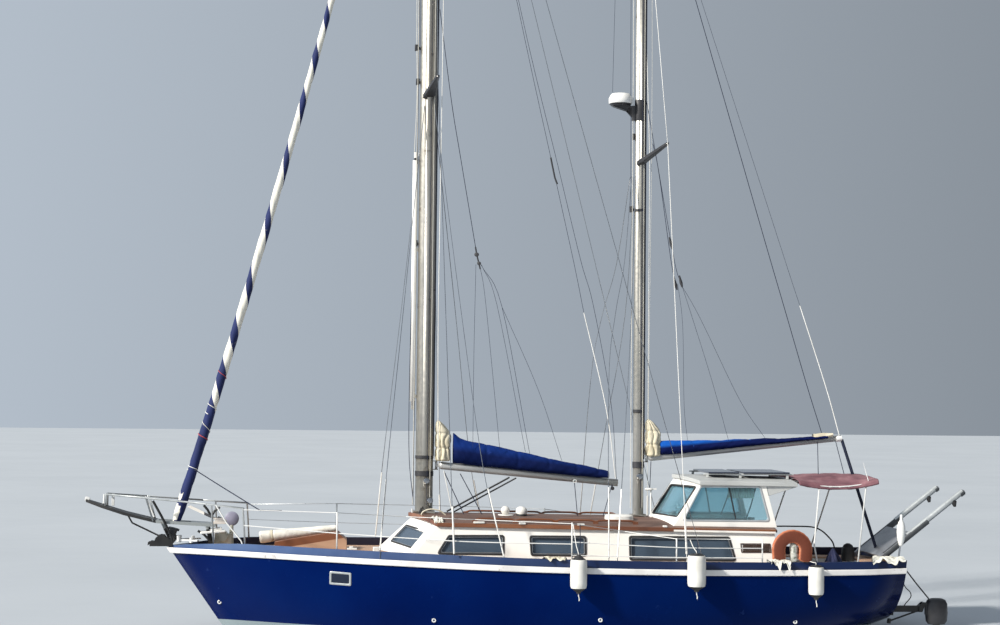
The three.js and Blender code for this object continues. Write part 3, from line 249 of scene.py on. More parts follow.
def worked(made, operation, first, second=0.5):
    """Socket with the outcome of a sum on a socket and on a second socket or a number."""
    tree = made.node_tree
    node, = shader_nodes(tree, "Math")
    node.operation = operation
    feed(tree, (first, node.inputs[0]))
    if isinstance(second, bpy.types.NodeSocket):
        feed(tree, (second, node.inputs[1]))
    else:
        node.inputs[1].default_value = second
    return node.outputs[0]


def place_parts(made, kind="TexCoord", output="Object"):
    """Sockets with the three parts of the place on the piece."""
    place, split = shader_nodes(made.node_tree, kind, "SeparateXYZ")
    feed(made.node_tree, (place.outputs[output], split.inputs[0]))
    return split.outputs


def climbing(made, value, start, end):
    """Mask that climbs from 0 to 1 as a socket's value goes from start to end."""
    ramp, = shader_nodes(made.node_tree, "MapRange")
    mapped(ramp, start, end)
    feed(made.node_tree, (value, ramp.inputs["Value"]))
    return ramp.outputs["Result"]


FAR = 99


def inside(made, low, high):
    """Mask that is 1 within the box between two corners and 0 outside; a side of the box at FAR is open."""
    mask = None
    for place, *bounds in zip(place_parts(made), low, high):
        for test, bound in zip(("GREATER_THAN", "LESS_THAN"), bounds):
            if abs(bound) < FAR:
                step = worked(made, test, place, bound)
                mask = step if mask is None else worked(made, "MULTIPLY", mask, step)
    return mask


def spots(made, size, level, soft):
    """Mask of scattered patches: a noise of a size in metres, where it rises over a level."""
    place, noise = shader_nodes(made.node_tree, "TexCoord", "TexNoise")
    put(noise, {"Scale": 1 / size, "Detail": 8.0, "Roughness": 0.62})
    feed(made.node_tree, (place.outputs["Object"], noise.inputs["Vector"]))
    return climbing(made, noise.outputs["Fac"], level, level + soft)


def rising(made, axis, start, end):
    """Mask that climbs from 0 to 1 along an axis between two places on it."""
    return climbing(made, place_parts(made)[axis], start, end)


def inward(made):
    """Mask that is 1 on faces that look towards the boat's middle line: there the place across times the
    normal's part across is well under zero."""
    place_across = place_parts(made, "NewGeometry", "Position")[1]
    normal_across = place_parts(made, "NewGeometry", "Normal")[1]
    return worked(made, "LESS_THAN", worked(made, "MULTIPLY", place_across, normal_across), -0.2)


HULL_BLUES = [(0.0003, 0.0045, 0.056), (0.0004, 0.0065, 0.070), (0.0006, 0.0095, 0.084)]
gelcoat_blue = finish("gelcoat_blue", HULL_BLUES, size=1.6, rough=(0.18, 0.3), relief=0.0006, grain=0.5)
put(gelcoat_blue.node_tree.nodes["Principled BSDF"],
    {"Specular IOR Level": 0.25, "Specular Tint": (0.03, 0.25, 1.0, 1)})
stripe_foot, stripe_top = -0.02, 0.15
over(gelcoat_blue, rising(gelcoat_blue, 0, 0.5, 6.0), (0.0008, 0.0055, 0.048))
over(gelcoat_blue, spots(gelcoat_blue, 0.35, 0.68, 0.06), (0.015, 0.035, 0.14), gloss=0.5)
over(gelcoat_blue, inside(gelcoat_blue, (-FAR, -FAR, stripe_foot), (FAR, FAR, stripe_top)),
     (0.30, 0.36, 0.37))
over(gelcoat_blue, inside(gelcoat_blue, (-FAR, -FAR, -FAR), (FAR, FAR, stripe_foot)), (0.012, 0.02, 0.05),
     gloss=0.7)
for corners, tone in ((((-1.97, -0.97, -0.07), (3.67, 0.97, 1.3)), (0.50, 0.36, 0.22)),
                      (((3.67, -0.5, 0.5), (5.37, 0.5, 1.3)), (0.78, 0.76, 0.70))):
    over(gelcoat_blue, inside(gelcoat_blue, *corners), tone, gloss=0.4)
dress("hull", gelcoat_blue)

# Bulwark, the same hull paint, made paler grey-blue by a painted reflection of the sky on its sloping face,
# and the white rubbing strake below it, whose edges are worn. Both are fixed along the deck edge.
# Painted reflection: the pale grey-blue tones stand for sky caught by the bulwark's face, and they fade to
# a darker blue from the bow aft.
weathered_blue = finish("weathered_blue", [(0.035, 0.075, 0.20), (0.05, 0.10, 0.235), (0.08, 0.135, 0.27)],
                        size=0.8, rough=(0.35, 0.5), coat=0.1, relief=0.0006, grain=0.2)
over(weathered_blue, rising(weathered_blue, 0, -4.2, 0.8), (0.002, 0.013, 0.065))
over(weathered_blue, inward(weathered_blue), (0.002, 0.006, 0.032))
dress("bulwark", weathered_blue, round_by=0.004)
strake_white = finish("strake_white", [(0.62, 0.60, 0.58), (0.78, 0.76, 0.74), (0.86, 0.84, 0.82)],
                      size=0.5, rough=(0.35, 0.5), relief=0.0008, grain=0.12)
over(strake_white, spots(strake_white, 0.12, 0.62, 0.08), (0.42, 0.38, 0.36), gloss=0.6)
dress("rub_rail", strake_white, smooth_to=50, round_by=0.012, steps=3)


# Ballast keel, skeg, rudder and stern gear, all under water: dark antifouling, with a bronze propeller.
antifouling = finish("antifouling", [(0.010, 0.014, 0.028), (0.02, 0.028, 0.05)], size=0.4,
                     rough=(0.6, 0.8), relief=0.001, grain=0.03)
bronze = finish("bronze", [(0.30, 0.19, 0.08), (0.48, 0.32, 0.14), (0.2, 0.25, 0.16)], size=0.08,
                rough=(0.3, 0.5), metal=1.0, relief=0.0004, grain=0.01)
for node in ("keel", "skeg", "rudder"):
    dress(node, antifouling, smooth_to=40)
dress("propeller", bronze, smooth_to=40)


# Deck, laid in narrow teak planks that run fore and aft, bleached by the sun, with dark caulking between
# them. The wheelhouse's floor is of the same planks.
def planked(name, tones, seam):
    """Wood in planks 52 mm wide that run fore and aft, with a seam of dark caulking at each joint: the seam
    is where the place across, divided by the planks' width, has a fraction under the seam's share."""
    made = finish(name, tones, size=0.22, rough=(0.6, 0.75), relief=0.0008, grain=0.02,
                  stretch=(0.25, 1, 1))
    share = worked(made, "FRACT", worked(made, "DIVIDE", place_parts(made)[1], 0.052))
    over(made, worked(made, "LESS_THAN", share, seam), (0.03, 0.022, 0.018))
    return made


deck_teak = planked("deck_teak", [(0.42, 0.25, 0.16), (0.52, 0.33, 0.22), (0.60, 0.41, 0.29)], 0.1)
dress("deck", deck_teak)
dress("pilothouse_sole", deck_teak, round_by=0.004)


# Trunk cabin and wheelhouse, white gelcoat mouldings a little yellowed, with streaks under the fittings.
# The openings have rounded corners and black rubber frames, the glass lies behind them.
cream_gelcoat = finish("cream_gelcoat", [(0.80, 0.77, 0.71), (0.87, 0.85, 0.80), (0.91, 0.89, 0.85)],
                       size=0.9, rough=(0.28, 0.4), coat=0.15, relief=0.0005, grain=0.3)
over(cream_gelcoat, spots(cream_gelcoat, 0.5, 0.66, 0.1), (0.60, 0.55, 0.46), gloss=0.5)
# The wheelhouse roof is white, but it is painted a mid grey: painted shade.
roof_white = finish("roof_white", [(0.42, 0.43, 0.42), (0.52, 0.53, 0.52)], size=0.7, rough=(0.35, 0.5),
                    relief=0.0004, grain=0.1)
dress("trunk_cabin", cream_gelcoat, round_by=0.008)
dress("pilothouse", cream_gelcoat, round_by=0.01)
dress("pilothouse_roof", roof_white, round_by=0.02, steps=3)
dress("helm_console", cream_gelcoat, round_by=0.012)


def glazing(name, tint, clear):
    """Glass with a tint of its own, clear to a share from 0 to 1."""
    made = finish(name, [tint, tuple(1.15 * t for t in tint)], size=0.8, rough=(0.02, 0.06))
    put(made.node_tree.nodes["Principled BSDF"], {"Transmission Weight": clear, "IOR": 1.45})
    return made


smoked_glass = glazing("smoked_glass", (0.075, 0.11, 0.155), 0.35)
clear_glass = glazing("clear_glass", (0.42, 0.66, 0.74), 0.88)
for place in ("port", "starboard", "front"):
    dress(f"trunk_glass_{place}", smoked_glass, smooth_to=20)
    dress(f"pilothouse_glass_{place}", clear_glass, smooth_to=20)


def rounded(outline, out, radius, steps=5):
    """The outline, [across, up] points in order, moved outwards by a distance and with its corners rounded:
    each becomes a parabola between the two points where an arc of the radius would leave the sides."""
    corners = np.array(outline, float)
    along = np.roll(corners, -1, 0) - corners
    along /= np.linalg.norm(along, axis=1, keepdims=True)
    turn = np.sign(np.cross(along, np.roll(along, -1, 0)).sum())
    away = turn * np.stack([along[:, 1], -along[:, 0]], 1)
    before, away_before = np.roll(along, 1, 0), np.roll(away, 1, 0)
    moved = corners + out * (away + away_before) / (1 + (away * away_before).sum(1, keepdims=True))
    half = np.arccos(np.clip((before * along).sum(1), -1, 1)) / 2
    reach = (radius * np.tan(half))[:, None]
    t = np.linspace(0, 1, steps)[None, :, None]
    start, end = (moved - before * reach)[:, None], (moved + along * reach)[:, None]
    bend = (1 - t) ** 2 * start + 2 * t * (1 - t) * moved[:, None] + t ** 2 * end
    return bend.reshape(-1, 2)


def trunk_side(x, z):
    """Half breadth of the trunk cabin's side at a place, between its low edge and its high edge."""
    low, high = 1.15 + 0.0129 * (x + 2.12), 0.97 + 0.0229 * (x + 1.33)
    return low + (high - low) * (z - 1.0) / 0.9


def frame_ring(outline, outer, inner, surface, proud, hand):
    """Flat ring that follows an outline of [x, z] points, laid on a surface and standing proud of it. Its
    outer and its inner edge each have a distance outwards from the outline and a corner radius."""
    outer, inner, sunk, rows = rounded(outline, *outer), rounded(outline, *inner), 0.004, []
    for line, lift in ((outer, -sunk), (outer, proud * 0.6), (0.8 * outer + 0.2 * inner, proud),
                       (0.2 * outer + 0.8 * inner, proud), (inner, proud * 0.6), (inner, -sunk - 0.03)):
        x, z = line.T
        rows.append(np.stack([x, hand * (surface(x, z) + lift), z], 1))
    quads = grid(len(rows), len(outer))
    return np.concatenate(rows), quads if hand < 0 else quads[:, ::-1], NO_TRIS


black_rubber = finish("black_rubber", [(0.012, 0.012, 0.013), (0.03, 0.03, 0.032)], size=0.3,
                      rough=(0.5, 0.7), relief=0.0003, grain=0.01)
dull_metal = finish("dull_metal", [(0.42, 0.43, 0.44), (0.56, 0.57, 0.58)], size=0.2, rough=(0.3, 0.45),
                    metal=1.0)
SIDES = (("port", -1), ("starboard", 1))
SIDE_WINDOWS = [
    [(-1.53, 1.268), (-0.52, 1.262), (-0.52, 1.54), (-1.355, 1.536)],
    [(-0.092, 1.252), (0.742, 1.248), (0.742, 1.532), (-0.108, 1.534)],
    [(1.43, 1.19), (3.07, 1.182), (2.98, 1.53), (1.43, 1.536)],
]
for k, opening in enumerate(SIDE_WINDOWS):
    for side, hand in SIDES:
        seal = frame_ring(opening, (0.014, 0.045), (-0.016, 0.032), trunk_side, 0.009, hand)
        piece(f"window_seal_{side}_{k + 1}", seal, black_rubber)
        rim = frame_ring(opening, (-0.014, 0.033), (-0.026, 0.022), trunk_side, -0.004, hand)
        piece(f"window_frame_{side}_{k + 1}", rim, dull_metal)


def pane_ring(corners, outer, inner, radius, proud, hand):
    """Frame round a flat front window: the window's corners in order, the frame's two distances outwards
    from its edge, and how far it stands out. It lies in the plane of the first three corners."""
    corners = np.array(corners, float) * (1, hand, 1)
    across = corners[1] - corners[0]
    across /= np.linalg.norm(across)
    up = corners[3] - corners[0]
    up -= across * (up @ across)
    up /= np.linalg.norm(up)
    out = np.cross(across, up)
    out *= np.sign(out @ (-1, hand * 0.5, 0.6))
    flat = [((c - corners[0]) @ across, (c - corners[0]) @ up) for c in corners]
    rings = []
    for reach, lift in ((outer, -0.004), (outer, 0.7 * proud), (outer - 0.004, proud),
                        (inner + 0.004, proud), (inner, 0.7 * proud), (inner, -0.03)):
        line = rounded(flat, reach, radius + reach)
        rings.append(corners[0] + line[:, :1] * across + line[:, 1:] * up + lift * out)
    quads = grid(len(rings), len(rings[0]))
    points = np.concatenate(rings)
    first = np.cross(points[quads[0, 1]] - points[quads[0, 0]], points[quads[0, 3]] - points[quads[0, 0]])
    outward = first @ (points[quads[0, 0]] - corners.mean(0)) > 0
    return points, quads if outward else quads[:, ::-1], NO_TRIS


TRUNK_PANE = [(-1.971, 0.086, 1.625), (-1.680, 0.779, 1.577), (-1.909, 0.841, 1.336),
              (-2.205, 0.144, 1.382)]
HOUSE_PANE = [(1.974, 0.040, 1.832), (2.208, 0.918, 1.832), (2.516, 0.875, 2.288), (2.277, 0.038, 2.288)]
for side, hand in SIDES:
    piece(f"trunk_pane_seal_{side}", pane_ring(TRUNK_PANE, 0.016, -0.012, 0.03, 0.008, hand), black_rubber)
    piece(f"trunk_pane_rim_{side}", pane_ring(TRUNK_PANE, -0.012, -0.022, 0.03, 0.003, hand), dull_metal)
    piece(f"house_pane_seal_{side}", pane_ring(HOUSE_PANE, 0.014, -0.014, 0.04, 0.008, hand), black_rubber)


# Curtains behind the side windows, plain pale cotton gathered on a rail and drawn part of the way.
def ripple(seed, *waves):
    """Sum of plane waves over two places; each wave is [height, wave number along, wave number across]."""
    turn = np.random.default_rng(seed).uniform(0, 2 * np.pi, len(waves))
    return lambda a, b: sum(h * np.sin(ka * a + kb * b + phase) for (h, ka, kb), phase in zip(waves, turn))


def open_form(points):
    """Form of a grid of points that is open at its edges."""
    return points.reshape(-1, 3), grid(*points.shape[:2], wrap=False), NO_TRIS


def mean_length(points, axis):
    """Mean length of the lines of a grid of points that run along an axis."""
    return float(np.linalg.norm(np.diff(points, axis=axis), axis=-1).sum(axis).mean())


def hung(x0, x1, z0, z1, side, folds, depth, seed, spread=0.25):
    """Cloth that hangs from a rail: out of its plane it swings by depth times a sine of the place along,
    whose phase drifts, the swing grows from the rail down, and the cloth is drawn in by a spread at mid
    height. Gives the form, and the cloth's width and length."""
    s, t = np.meshgrid(np.linspace(0, 1, 24 * folds), np.linspace(0, 1, 24), indexing="ij")
    drift = ripple(seed, (0.9, 7, 1.3), (0.6, 17, 2.1))
    swing = depth * np.sin(2 * np.pi * folds * s + drift(s, t)) * (0.55 + 0.45 * t)
    narrow = 1 - spread * np.sin(np.pi * t) ** 2
    x = x0 + (x1 - x0) * (s * narrow + 0.5 * (1 - narrow) * (s > 0.5))
    points = np.stack([x, side + swing, z1 - (z1 - z0) * t], -1)
    return open_form(points), (mean_length(points, 0), mean_length(points, 1))


curtain_cloth = finish("curtain_cloth", [(0.30, 0.33, 0.36), (0.44, 0.47, 0.50)], size=0.2,
                       rough=(0.8, 0.95), relief=0.0003, grain=0.004)
CURTAINS = [(-0.09, 0.73, 1.23, 1.56, 17), (1.46, 1.86, 1.17, 1.55, 8), (2.42, 2.56, 1.17, 1.55, 4)]
for k, (x0, x1, z0, z1, folds) in enumerate(CURTAINS):
    for side, hand in SIDES:
        form, flat = hung(x0, x1, z0, z1, hand * (trunk_side((x0 + x1) / 2, 1.4) - 0.095), folds, 0.014, k)
        curtain = piece(f"curtain_{side}_{k + 1}", form, curtain_cloth)


# Trunk roof: teak planks with a varnished mahogany fascia along its edge and a pale beading below it aft, a
# grab rail on each side, and the fittings that stand on it. All of it is bedded and screwed to the cabin.
def together(*forms):
    """Several forms as one."""
    starts = np.cumsum([0] + [len(points) for points, _, _ in forms])
    return (np.concatenate([points for points, _, _ in forms]),
            np.concatenate([quads + start for (_, quads, _), start in zip(forms, starts)]),
            np.concatenate([tris + start for (_, _, tris), start in zip(forms, starts)]))


def smooth_line(points, steps=8):
    """Catmull-Rom curve through the points: between two of them a cubic whose slope at each is half the
    step from the point before to the point after."""
    p = np.array(points, float)
    p = np.concatenate([2 * p[:1] - p[1:2], p, 2 * p[-1:] - p[-2:-1]])
    t = np.linspace(0, 1, steps, endpoint=False)[None, :, None]
    a, b, c, d = (p[k:len(p) - 3 + k, None] for k in range(4))
    run = 0.5 * (2 * b + (c - a) * t + (2 * a - 5 * b + 4 * c - d) * t ** 2
                 + (3 * b - a - 3 * c + d) * t ** 3)
    return np.concatenate([run.reshape(-1, 3), p[-2:-1]])


def end_caps(rings, sides):
    """Triangles that close both ends of a grid of rings, each to a middle point added to the grid's."""
    first, middle = np.arange(sides), rings * sides
    last = first + middle - sides
    return np.concatenate([np.stack([np.roll(first, -1), first, np.full(sides, middle)], 1),
                           np.stack([last, np.roll(last, -1), np.full(sides, middle + 1)], 1)])


def tube(route, radius, sides=10):
    """Round bar along a route. Each ring lies across the route; its two axes are the direction in which the
    whole route is flattest, made square to the route there, and the one square to both. radius is a number
    or one for each point."""
    route = np.array(route, float)
    along = np.gradient(route, axis=0)
    along /= np.linalg.norm(along, axis=1, keepdims=True)
    up = np.cross(np.linalg.svd(route - route.mean(0))[2][2], along)
    up /= np.linalg.norm(up, axis=1, keepdims=True)
    side = np.cross(up, along)
    radius = np.broadcast_to(np.asarray(radius, float), len(route))[:, None, None]
    turn = np.linspace(0, 2 * np.pi, sides, endpoint=False)[None, :, None]
    rings = route[:, None] + radius * (np.cos(turn) * side[:, None] + np.sin(turn) * up[:, None])
    points = np.concatenate([rings.reshape(-1, 3), route[:1], route[-1:]])
    return points, grid(len(route), sides), end_caps(len(route), sides)


def swept(route, section, up=(0, 0, 1)):
    """Flat section, [out, up] points, carried along a route: out is level and lies across the route."""
    route, section = np.array(route, float), np.array(section, float)
    along = np.gradient(route, axis=0)
    along /= np.linalg.norm(along, axis=1, keepdims=True)
    out = np.cross(along, np.array(up, float))
    out /= np.linalg.norm(out, axis=1, keepdims=True)
    high = np.cross(out, along)
    rings = route[:, None] + section[None, :, :1] * out[:, None] + section[None, :, 1:] * high[:, None]
    points = np.concatenate([rings.reshape(-1, 3), rings[0].mean(0)[None], rings[-1].mean(0)[None]])
    return points, grid(len(route), len(section))[:, ::-1], end_caps(len(route), len(section))[:, [1, 0, 2]]


def spun(profile, centre, axis=(0, 0, 1), sides=24):
    """Profile of [radius, place along the axis] points turned about an axis through a centre."""
    axis = np.array(axis, float) / np.linalg.norm(axis)
    side = np.cross(axis, (1, 0, 0) if abs(axis[0]) < 0.8 else (0, 1, 0))
    side /= np.linalg.norm(side)
    up = np.cross(axis, side)
    profile = np.array(profile, float)
    turn = np.linspace(0, 2 * np.pi, sides, endpoint=False)[None, :, None]
    rings = (np.array(centre, float) + profile[:, 1:, None] * axis
             + profile[:, :1, None] * (np.cos(turn) * side + np.sin(turn) * up))
    return rings.reshape(-1, 3), grid(len(profile), sides), NO_TRIS


def block(low, high):
    """Box between two corners."""
    corners = np.array([[(low, high)[i][0], (low, high)[j][1], (low, high)[k][2]]
                        for i in (0, 1) for j in (0, 1) for k in (0, 1)], float)
    quads = np.array([[0, 1, 3, 2], [4, 6, 7, 5], [0, 4, 5, 1], [2, 3, 7, 6], [0, 2, 6, 4], [1, 5, 7, 3]])
    return corners, quads, NO_TRIS


def bar(start, end, wide, shade_tone, up=(0, 0, 1)):
    """Straight bar of rectangular section between two points."""
    a, b = wide / 2, shade_tone / 2
    middle = (np.array(start) + np.array(end)) / 2
    return swept([start, middle, end], [[-a, -b], [a, -b], [a, b], [-a, b]], up)


def on_roof(x, y):
    """Height of the trunk roof's top at a place: it falls 12 mm in a metre aft, and its crown stands 95 mm
    over its edge, which is 1.11 m out."""
    return 1.702 - 0.012 * x + 0.095 * (1 - (y / 1.11) ** 2)


varnished = finish("varnished", [(0.115, 0.034, 0.013), (0.19, 0.066, 0.025), (0.30, 0.125, 0.05)],
                   size=0.5, rough=(0.22, 0.42), coat=0.35, relief=0.0004, grain=0.008,
                   stretch=(0.25, 1, 1))
roof_teak = planked("roof_teak", [(0.10, 0.055, 0.042), (0.155, 0.09, 0.068), (0.23, 0.14, 0.11)], 0.12)
dress("trunk_roof", roof_teak, round_by=0.006)
white_paint = finish("white_paint", [(0.70, 0.68, 0.63), (0.82, 0.81, 0.78)], size=0.4, rough=(0.3, 0.45),
                     relief=0.0003, grain=0.05)
FASCIA = [[-0.004, -0.016], [0.012, -0.016], [0.016, -0.010], [0.016, 0.038], [0.012, 0.044],
          [-0.03, 0.044]]
LOW_FASCIA = [[-0.004, -0.018], [0.016, -0.018], [0.019, -0.012], [0.019, 0.014], [-0.004, 0.014]]
for side, hand in SIDES:
    edge = [[x, hand * (1.046 + 0.022 * (x + 1.53)), 1.672 - 0.012 * x - 0.0036 * (x + 1.53)]
            for x in np.linspace(-1.53, 3.705, 24)]
    fore = [[-1.53 - 0.388 * t, hand * (1.046 - 1.04 * t), 1.6904 + 0.085 * (1 - (1 - t) ** 2) + 0.0047 * t]
            for t in np.linspace(0.06, 1, 8)][::-1]
    route = np.array(fore + edge)
    section = FASCIA if hand < 0 else np.array(FASCIA)[::-1] * (-1, 1)
    piece(f"roof_fascia_{side}", swept(route, section), varnished, sharp=25)
    aft = np.array([p for p in edge if p[0] > 1.9])
    section = LOW_FASCIA if hand < 0 else np.array(LOW_FASCIA)[::-1] * (-1, 1)
    piece(f"roof_beading_{side}", swept(aft, section), cream_gelcoat, sharp=25)
    x = np.linspace(-0.95, 1.55, 41)
    lift = 0.052 - 0.026 * (np.abs(((x + 0.95) / 0.625) % 1 - 0.5) * 2) ** 8
    rail = np.stack([x, np.full(41, hand * 0.93), on_roof(x, 0.93) + lift], 1)
    feet = [block((x0 - 0.04, hand * 0.93 - 0.014, on_roof(x0, 0.93) - 0.01),
                  (x0 + 0.04, hand * 0.93 + 0.014, on_roof(x0, 0.93) + 0.04))
            for x0 in np.linspace(-0.95, 1.55, 5)]
    piece(f"grab_rail_{side}", together(tube(rail, 0.016), *feet), varnished)

# Ventilators and small fittings in white plastic on the roof, and the low white locker by the mizzen mast.
cap = [[0.0, 0.075], [0.03, 0.072], [0.058, 0.05], [0.07, 0.015], [0.066, -0.022], [0.03, -0.03],
       [0.0, -0.03]][::-1]
piece("horn_head", spun(cap, (-0.41, -0.2, 1.872), axis=(0.25, -1, 0.1)), white_paint)
legs = (tube([[-0.43, -0.2, 1.77], [-0.425, -0.2, 1.85]], 0.012),
        tube([[-0.37, -0.2, 1.77], [-0.385, -0.2, 1.85]], 0.012))
plate = spun([[0, 0], [0.13, 0], [0.12, 0.012], [0, 0.012]], (-0.4, -0.2, on_roof(-0.4, 0.2) - 0.002))
piece("horn_legs", together(*legs, plate), white_paint)
dome = [[0.09, -0.035], [0.092, 0.0], [0.082, 0.035], [0.05, 0.062], [0.0, 0.07]]
piece("vent_cap", spun(dome, (-0.155, -0.25, 1.868), axis=(0.05, -0.2, 1)), white_paint)
piece("vent_base", spun([[0.085, 0.0], [0.078, 0.1], [0.0, 0.1]],
                        (-0.155, -0.25, on_roof(-0.155, 0.25) - 0.004)), black_rubber)
low_lid = [[0, 0.5], [0.5, 0.5], [0.84, 0.46], [0.97, 0.36], [1.0, 0.0]][::-1]
points, quads, tris = spun(low_lid, (0, 0, 0), sides=32)
points = np.sign(points) * np.abs(points) ** (0.72, 0.72, 1) * (0.225, 0.2, 0.17)
points += (1.36, -0.5, on_roof(1.36, 0.6))
piece("roof_locker", (points, quads, tris), white_paint)
post = tube([[1.935, -0.16, 1.74], [1.93, -0.16, 2.2]], 0.011)
speaker = spun([[0, -0.02], [0.05, -0.018], [0.07, 0.0], [0.05, 0.02], [0, 0.02]], (1.9, -0.16, 2.215))
arm = bar([1.86, -0.16, 2.21], [2.02, -0.16, 2.222], 0.03, 0.022)
piece("loudhailer", together(post, speaker, arm), white_paint)
pads = [block((x, -1.075 - 0.0209 * (x + 1.6), 1.712 - 0.0156 * x),
              (x + width, -0.985 - 0.0209 * (x + 1.6), 1.739 - 0.0156 * x))
        for x, width in ((-0.98, 0.17), (-0.28, 0.1), (0.62, 0.11), (1.95, 0.06))]
piece("roof_pads", together(*pads), white_paint, round_by=0.006)


# Wheelhouse: the roof carries two dark panels on white rails; the side windows have a pale aluminium rim, a
# black mullion and strap, and to port a cream curtain bunched at the top; behind the glass is the helm. The
# engine below is dressed here too.
def house_side(x, z):
    """Half breadth of the wheelhouse's side at a place, between its low edge and its high edge."""
    low, high = 1.01, 0.93
    return low + (high - low) * (z - 1.6) / 0.8


HOUSE_WINDOW = [(2.285, 1.778), (3.655, 1.772), (3.52, 2.3), (2.572, 2.302)]
pale_metal = finish("pale_metal", [(0.50, 0.52, 0.53), (0.66, 0.68, 0.69)], size=0.3, rough=(0.3, 0.45),
                    metal=0.6)
for side, hand in SIDES:
    rim = frame_ring(HOUSE_WINDOW, (0.012, 0.05), (-0.014, 0.04), house_side, 0.008, hand)
    piece(f"wheelhouse_rim_{side}", rim, pale_metal)
    mullion = bar([3.03, hand * 0.9, 2.29], [3.13, hand * 0.945, 1.785], 0.022, 0.02, up=(1, 0, 0))
    piece(f"wheelhouse_mullion_{side}", mullion, black_rubber)
    strap = tube([[3.475, hand * 0.82, 2.29], [3.40, hand * 0.84, 2.03], [3.30, hand * 0.86, 1.75]], 0.011)
    piece(f"wheelhouse_strap_{side}", strap, black_rubber)
# The white roof rails take the roof's grey, which is painted shade.
dress("roof_rails", roof_white, round_by=0.004)
dark_panel = finish("dark_panel", [(0.008, 0.012, 0.03), (0.02, 0.025, 0.05)], size=0.16, rough=(0.1, 0.2),
                    coat=0.6)
dress("roof_panels", dark_panel, round_by=0.004)
dress("companion_door", varnished, round_by=0.004)
dress("helm_wheel", varnished, smooth_to=50)
engine_paint = finish("engine_paint", [(0.05, 0.12, 0.07), (0.08, 0.17, 0.10)], size=0.3, rough=(0.4, 0.6))
dress("engine", engine_paint, round_by=0.02)
cream_cloth = finish("cream_cloth", [(0.50, 0.45, 0.33), (0.63, 0.58, 0.45), (0.72, 0.68, 0.56)], size=0.18,
                     rough=(0.75, 0.9), relief=0.0008, grain=0.006)
form, flat = hung(3.02, 3.44, 2.12, 2.29, -0.865, 7, 0.016, 5, spread=0.0)
bunched = piece("wheelhouse_curtain", form, cream_cloth)


# Masts and booms: anodised aluminium tubes, dulled and streaked. Each mast has spreaders, a sail track up
# its aft side, halyards that run down it, winches near its foot and dark collars where fittings clamp on.
mast_metal = finish("mast_metal", [(0.34, 0.32, 0.28), (0.46, 0.44, 0.39), (0.56, 0.53, 0.48)], size=0.6,
                    rough=(0.30, 0.42), metal=0.86, relief=0.0003, grain=0.05, stretch=(3, 3, 0.35))
over(mast_metal, spots(mast_metal, 0.25, 0.63, 0.08), (0.16, 0.14, 0.12), gloss=0.6)
for node in ("main_mast", "mizzen_mast"):
    dress(node, mast_metal, smooth_to=38)
boom_metal = finish("boom_metal", [(0.34, 0.34, 0.34), (0.46, 0.46, 0.45), (0.58, 0.57, 0.55)], size=0.4,
                    rough=(0.35, 0.5), metal=0.55, relief=0.0003, grain=0.05, stretch=(0.3, 3, 3))
for node in ("main_boom", "mizzen_boom"):
    dress(node, boom_metal, smooth_to=38)
dress("spinnaker_pole", white_paint)
radar_dark = finish("radar_dark", [(0.02, 0.02, 0.022), (0.035, 0.035, 0.04)], size=0.3, rough=(0.4, 0.6))
radar_white = finish("radar_white", [(0.74, 0.73, 0.70), (0.84, 0.83, 0.81)], size=0.4, rough=(0.3, 0.4))
over(radar_white, inside(radar_white, (0, -1, 7.9), (3, 1, 8.43)), (0.025, 0.025, 0.028))
dress("radar", radar_white, smooth_to=30)
stainless = finish("stainless", [(0.30, 0.31, 0.33), (0.46, 0.47, 0.49)], size=0.25, rough=(0.14, 0.28),
                   metal=1.0)
pale_rope = finish("pale_rope", [(0.55, 0.53, 0.47), (0.68, 0.66, 0.60)], size=0.1, rough=(0.8, 0.95),
                   relief=0.001, grain=0.006)
dark_rope = finish("dark_rope", [(0.006, 0.010, 0.03), (0.015, 0.022, 0.05)], size=0.1, rough=(0.8, 0.95),
                   relief=0.001, grain=0.006)
track_metal = finish("track_metal", [(0.010, 0.014, 0.035), (0.02, 0.026, 0.055)], size=0.3,
                     rough=(0.4, 0.6), metal=0.3)
MASTS = [("main", -1.69, 0.14, 0.095, 1.82, 15.86, [(2.44, 0.08), (2.70, 0.05)]),
         ("mizzen", 1.75, 0.088, 0.066, 1.79, 12.9,
          [(8.33, 0.34), (6.70, 0.04), (3.46, 0.05), (2.60, 0.10)])]
for name, x, chord, half, foot, top, collars in MASTS:
    track = block((x + chord - 0.008, -0.016, foot + 0.9), (x + chord + 0.012, 0.016, top - 0.1))
    piece(f"{name}_track", track, track_metal)
    runs = [[x - chord - 0.028, 0.03], [x - chord - 0.04, -0.035], [x + 0.3 * chord, -half - 0.012],
            [x + 0.62 * chord, -half - 0.006], [x + 0.45 * chord, half + 0.012]]
    for k, (line_x, line_y) in enumerate(runs):
        z = np.linspace(foot + 0.12, top - 0.03, 30)
        sway = 0.012 * np.sin(np.linspace(0, 3 * np.pi, 30) + k)
        head = np.clip((z - top + 1.5) / 1.5, 0, 1)
        route = np.stack([line_x + (x - line_x) * 0.2 * head,
                          line_y * (1 - 0.3 * head) + sway * (k > 1) * 0.4, z], 1)
        piece(f"{name}_halyard_{k + 1}", tube(route, 0.005, sides=6), pale_rope if k % 2 else dark_rope)
    ring = np.linspace(0, 2 * np.pi, 25)
    for k, (z, tall) in enumerate(collars):
        outline = np.stack([(chord + 0.007) * np.cos(ring[:-1]), (half + 0.007) * np.sin(ring[:-1])], 1)
        rows = [np.concatenate([outline * grow + (x, 0), np.full((24, 1), z + up * tall / 2)], 1)
                for grow, up in ((0.97, -1), (1, -0.96), (1, 0.96), (0.97, 1))]
        piece(f"{name}_collar_{k + 1}", (np.concatenate(rows), grid(4, 24), NO_TRIS), radar_dark)
drum = [[0, 0], [0.05, 0], [0.05, 0.02], [0.034, 0.045], [0.036, 0.09], [0.048, 0.11], [0.04, 0.125],
        [0, 0.128]]
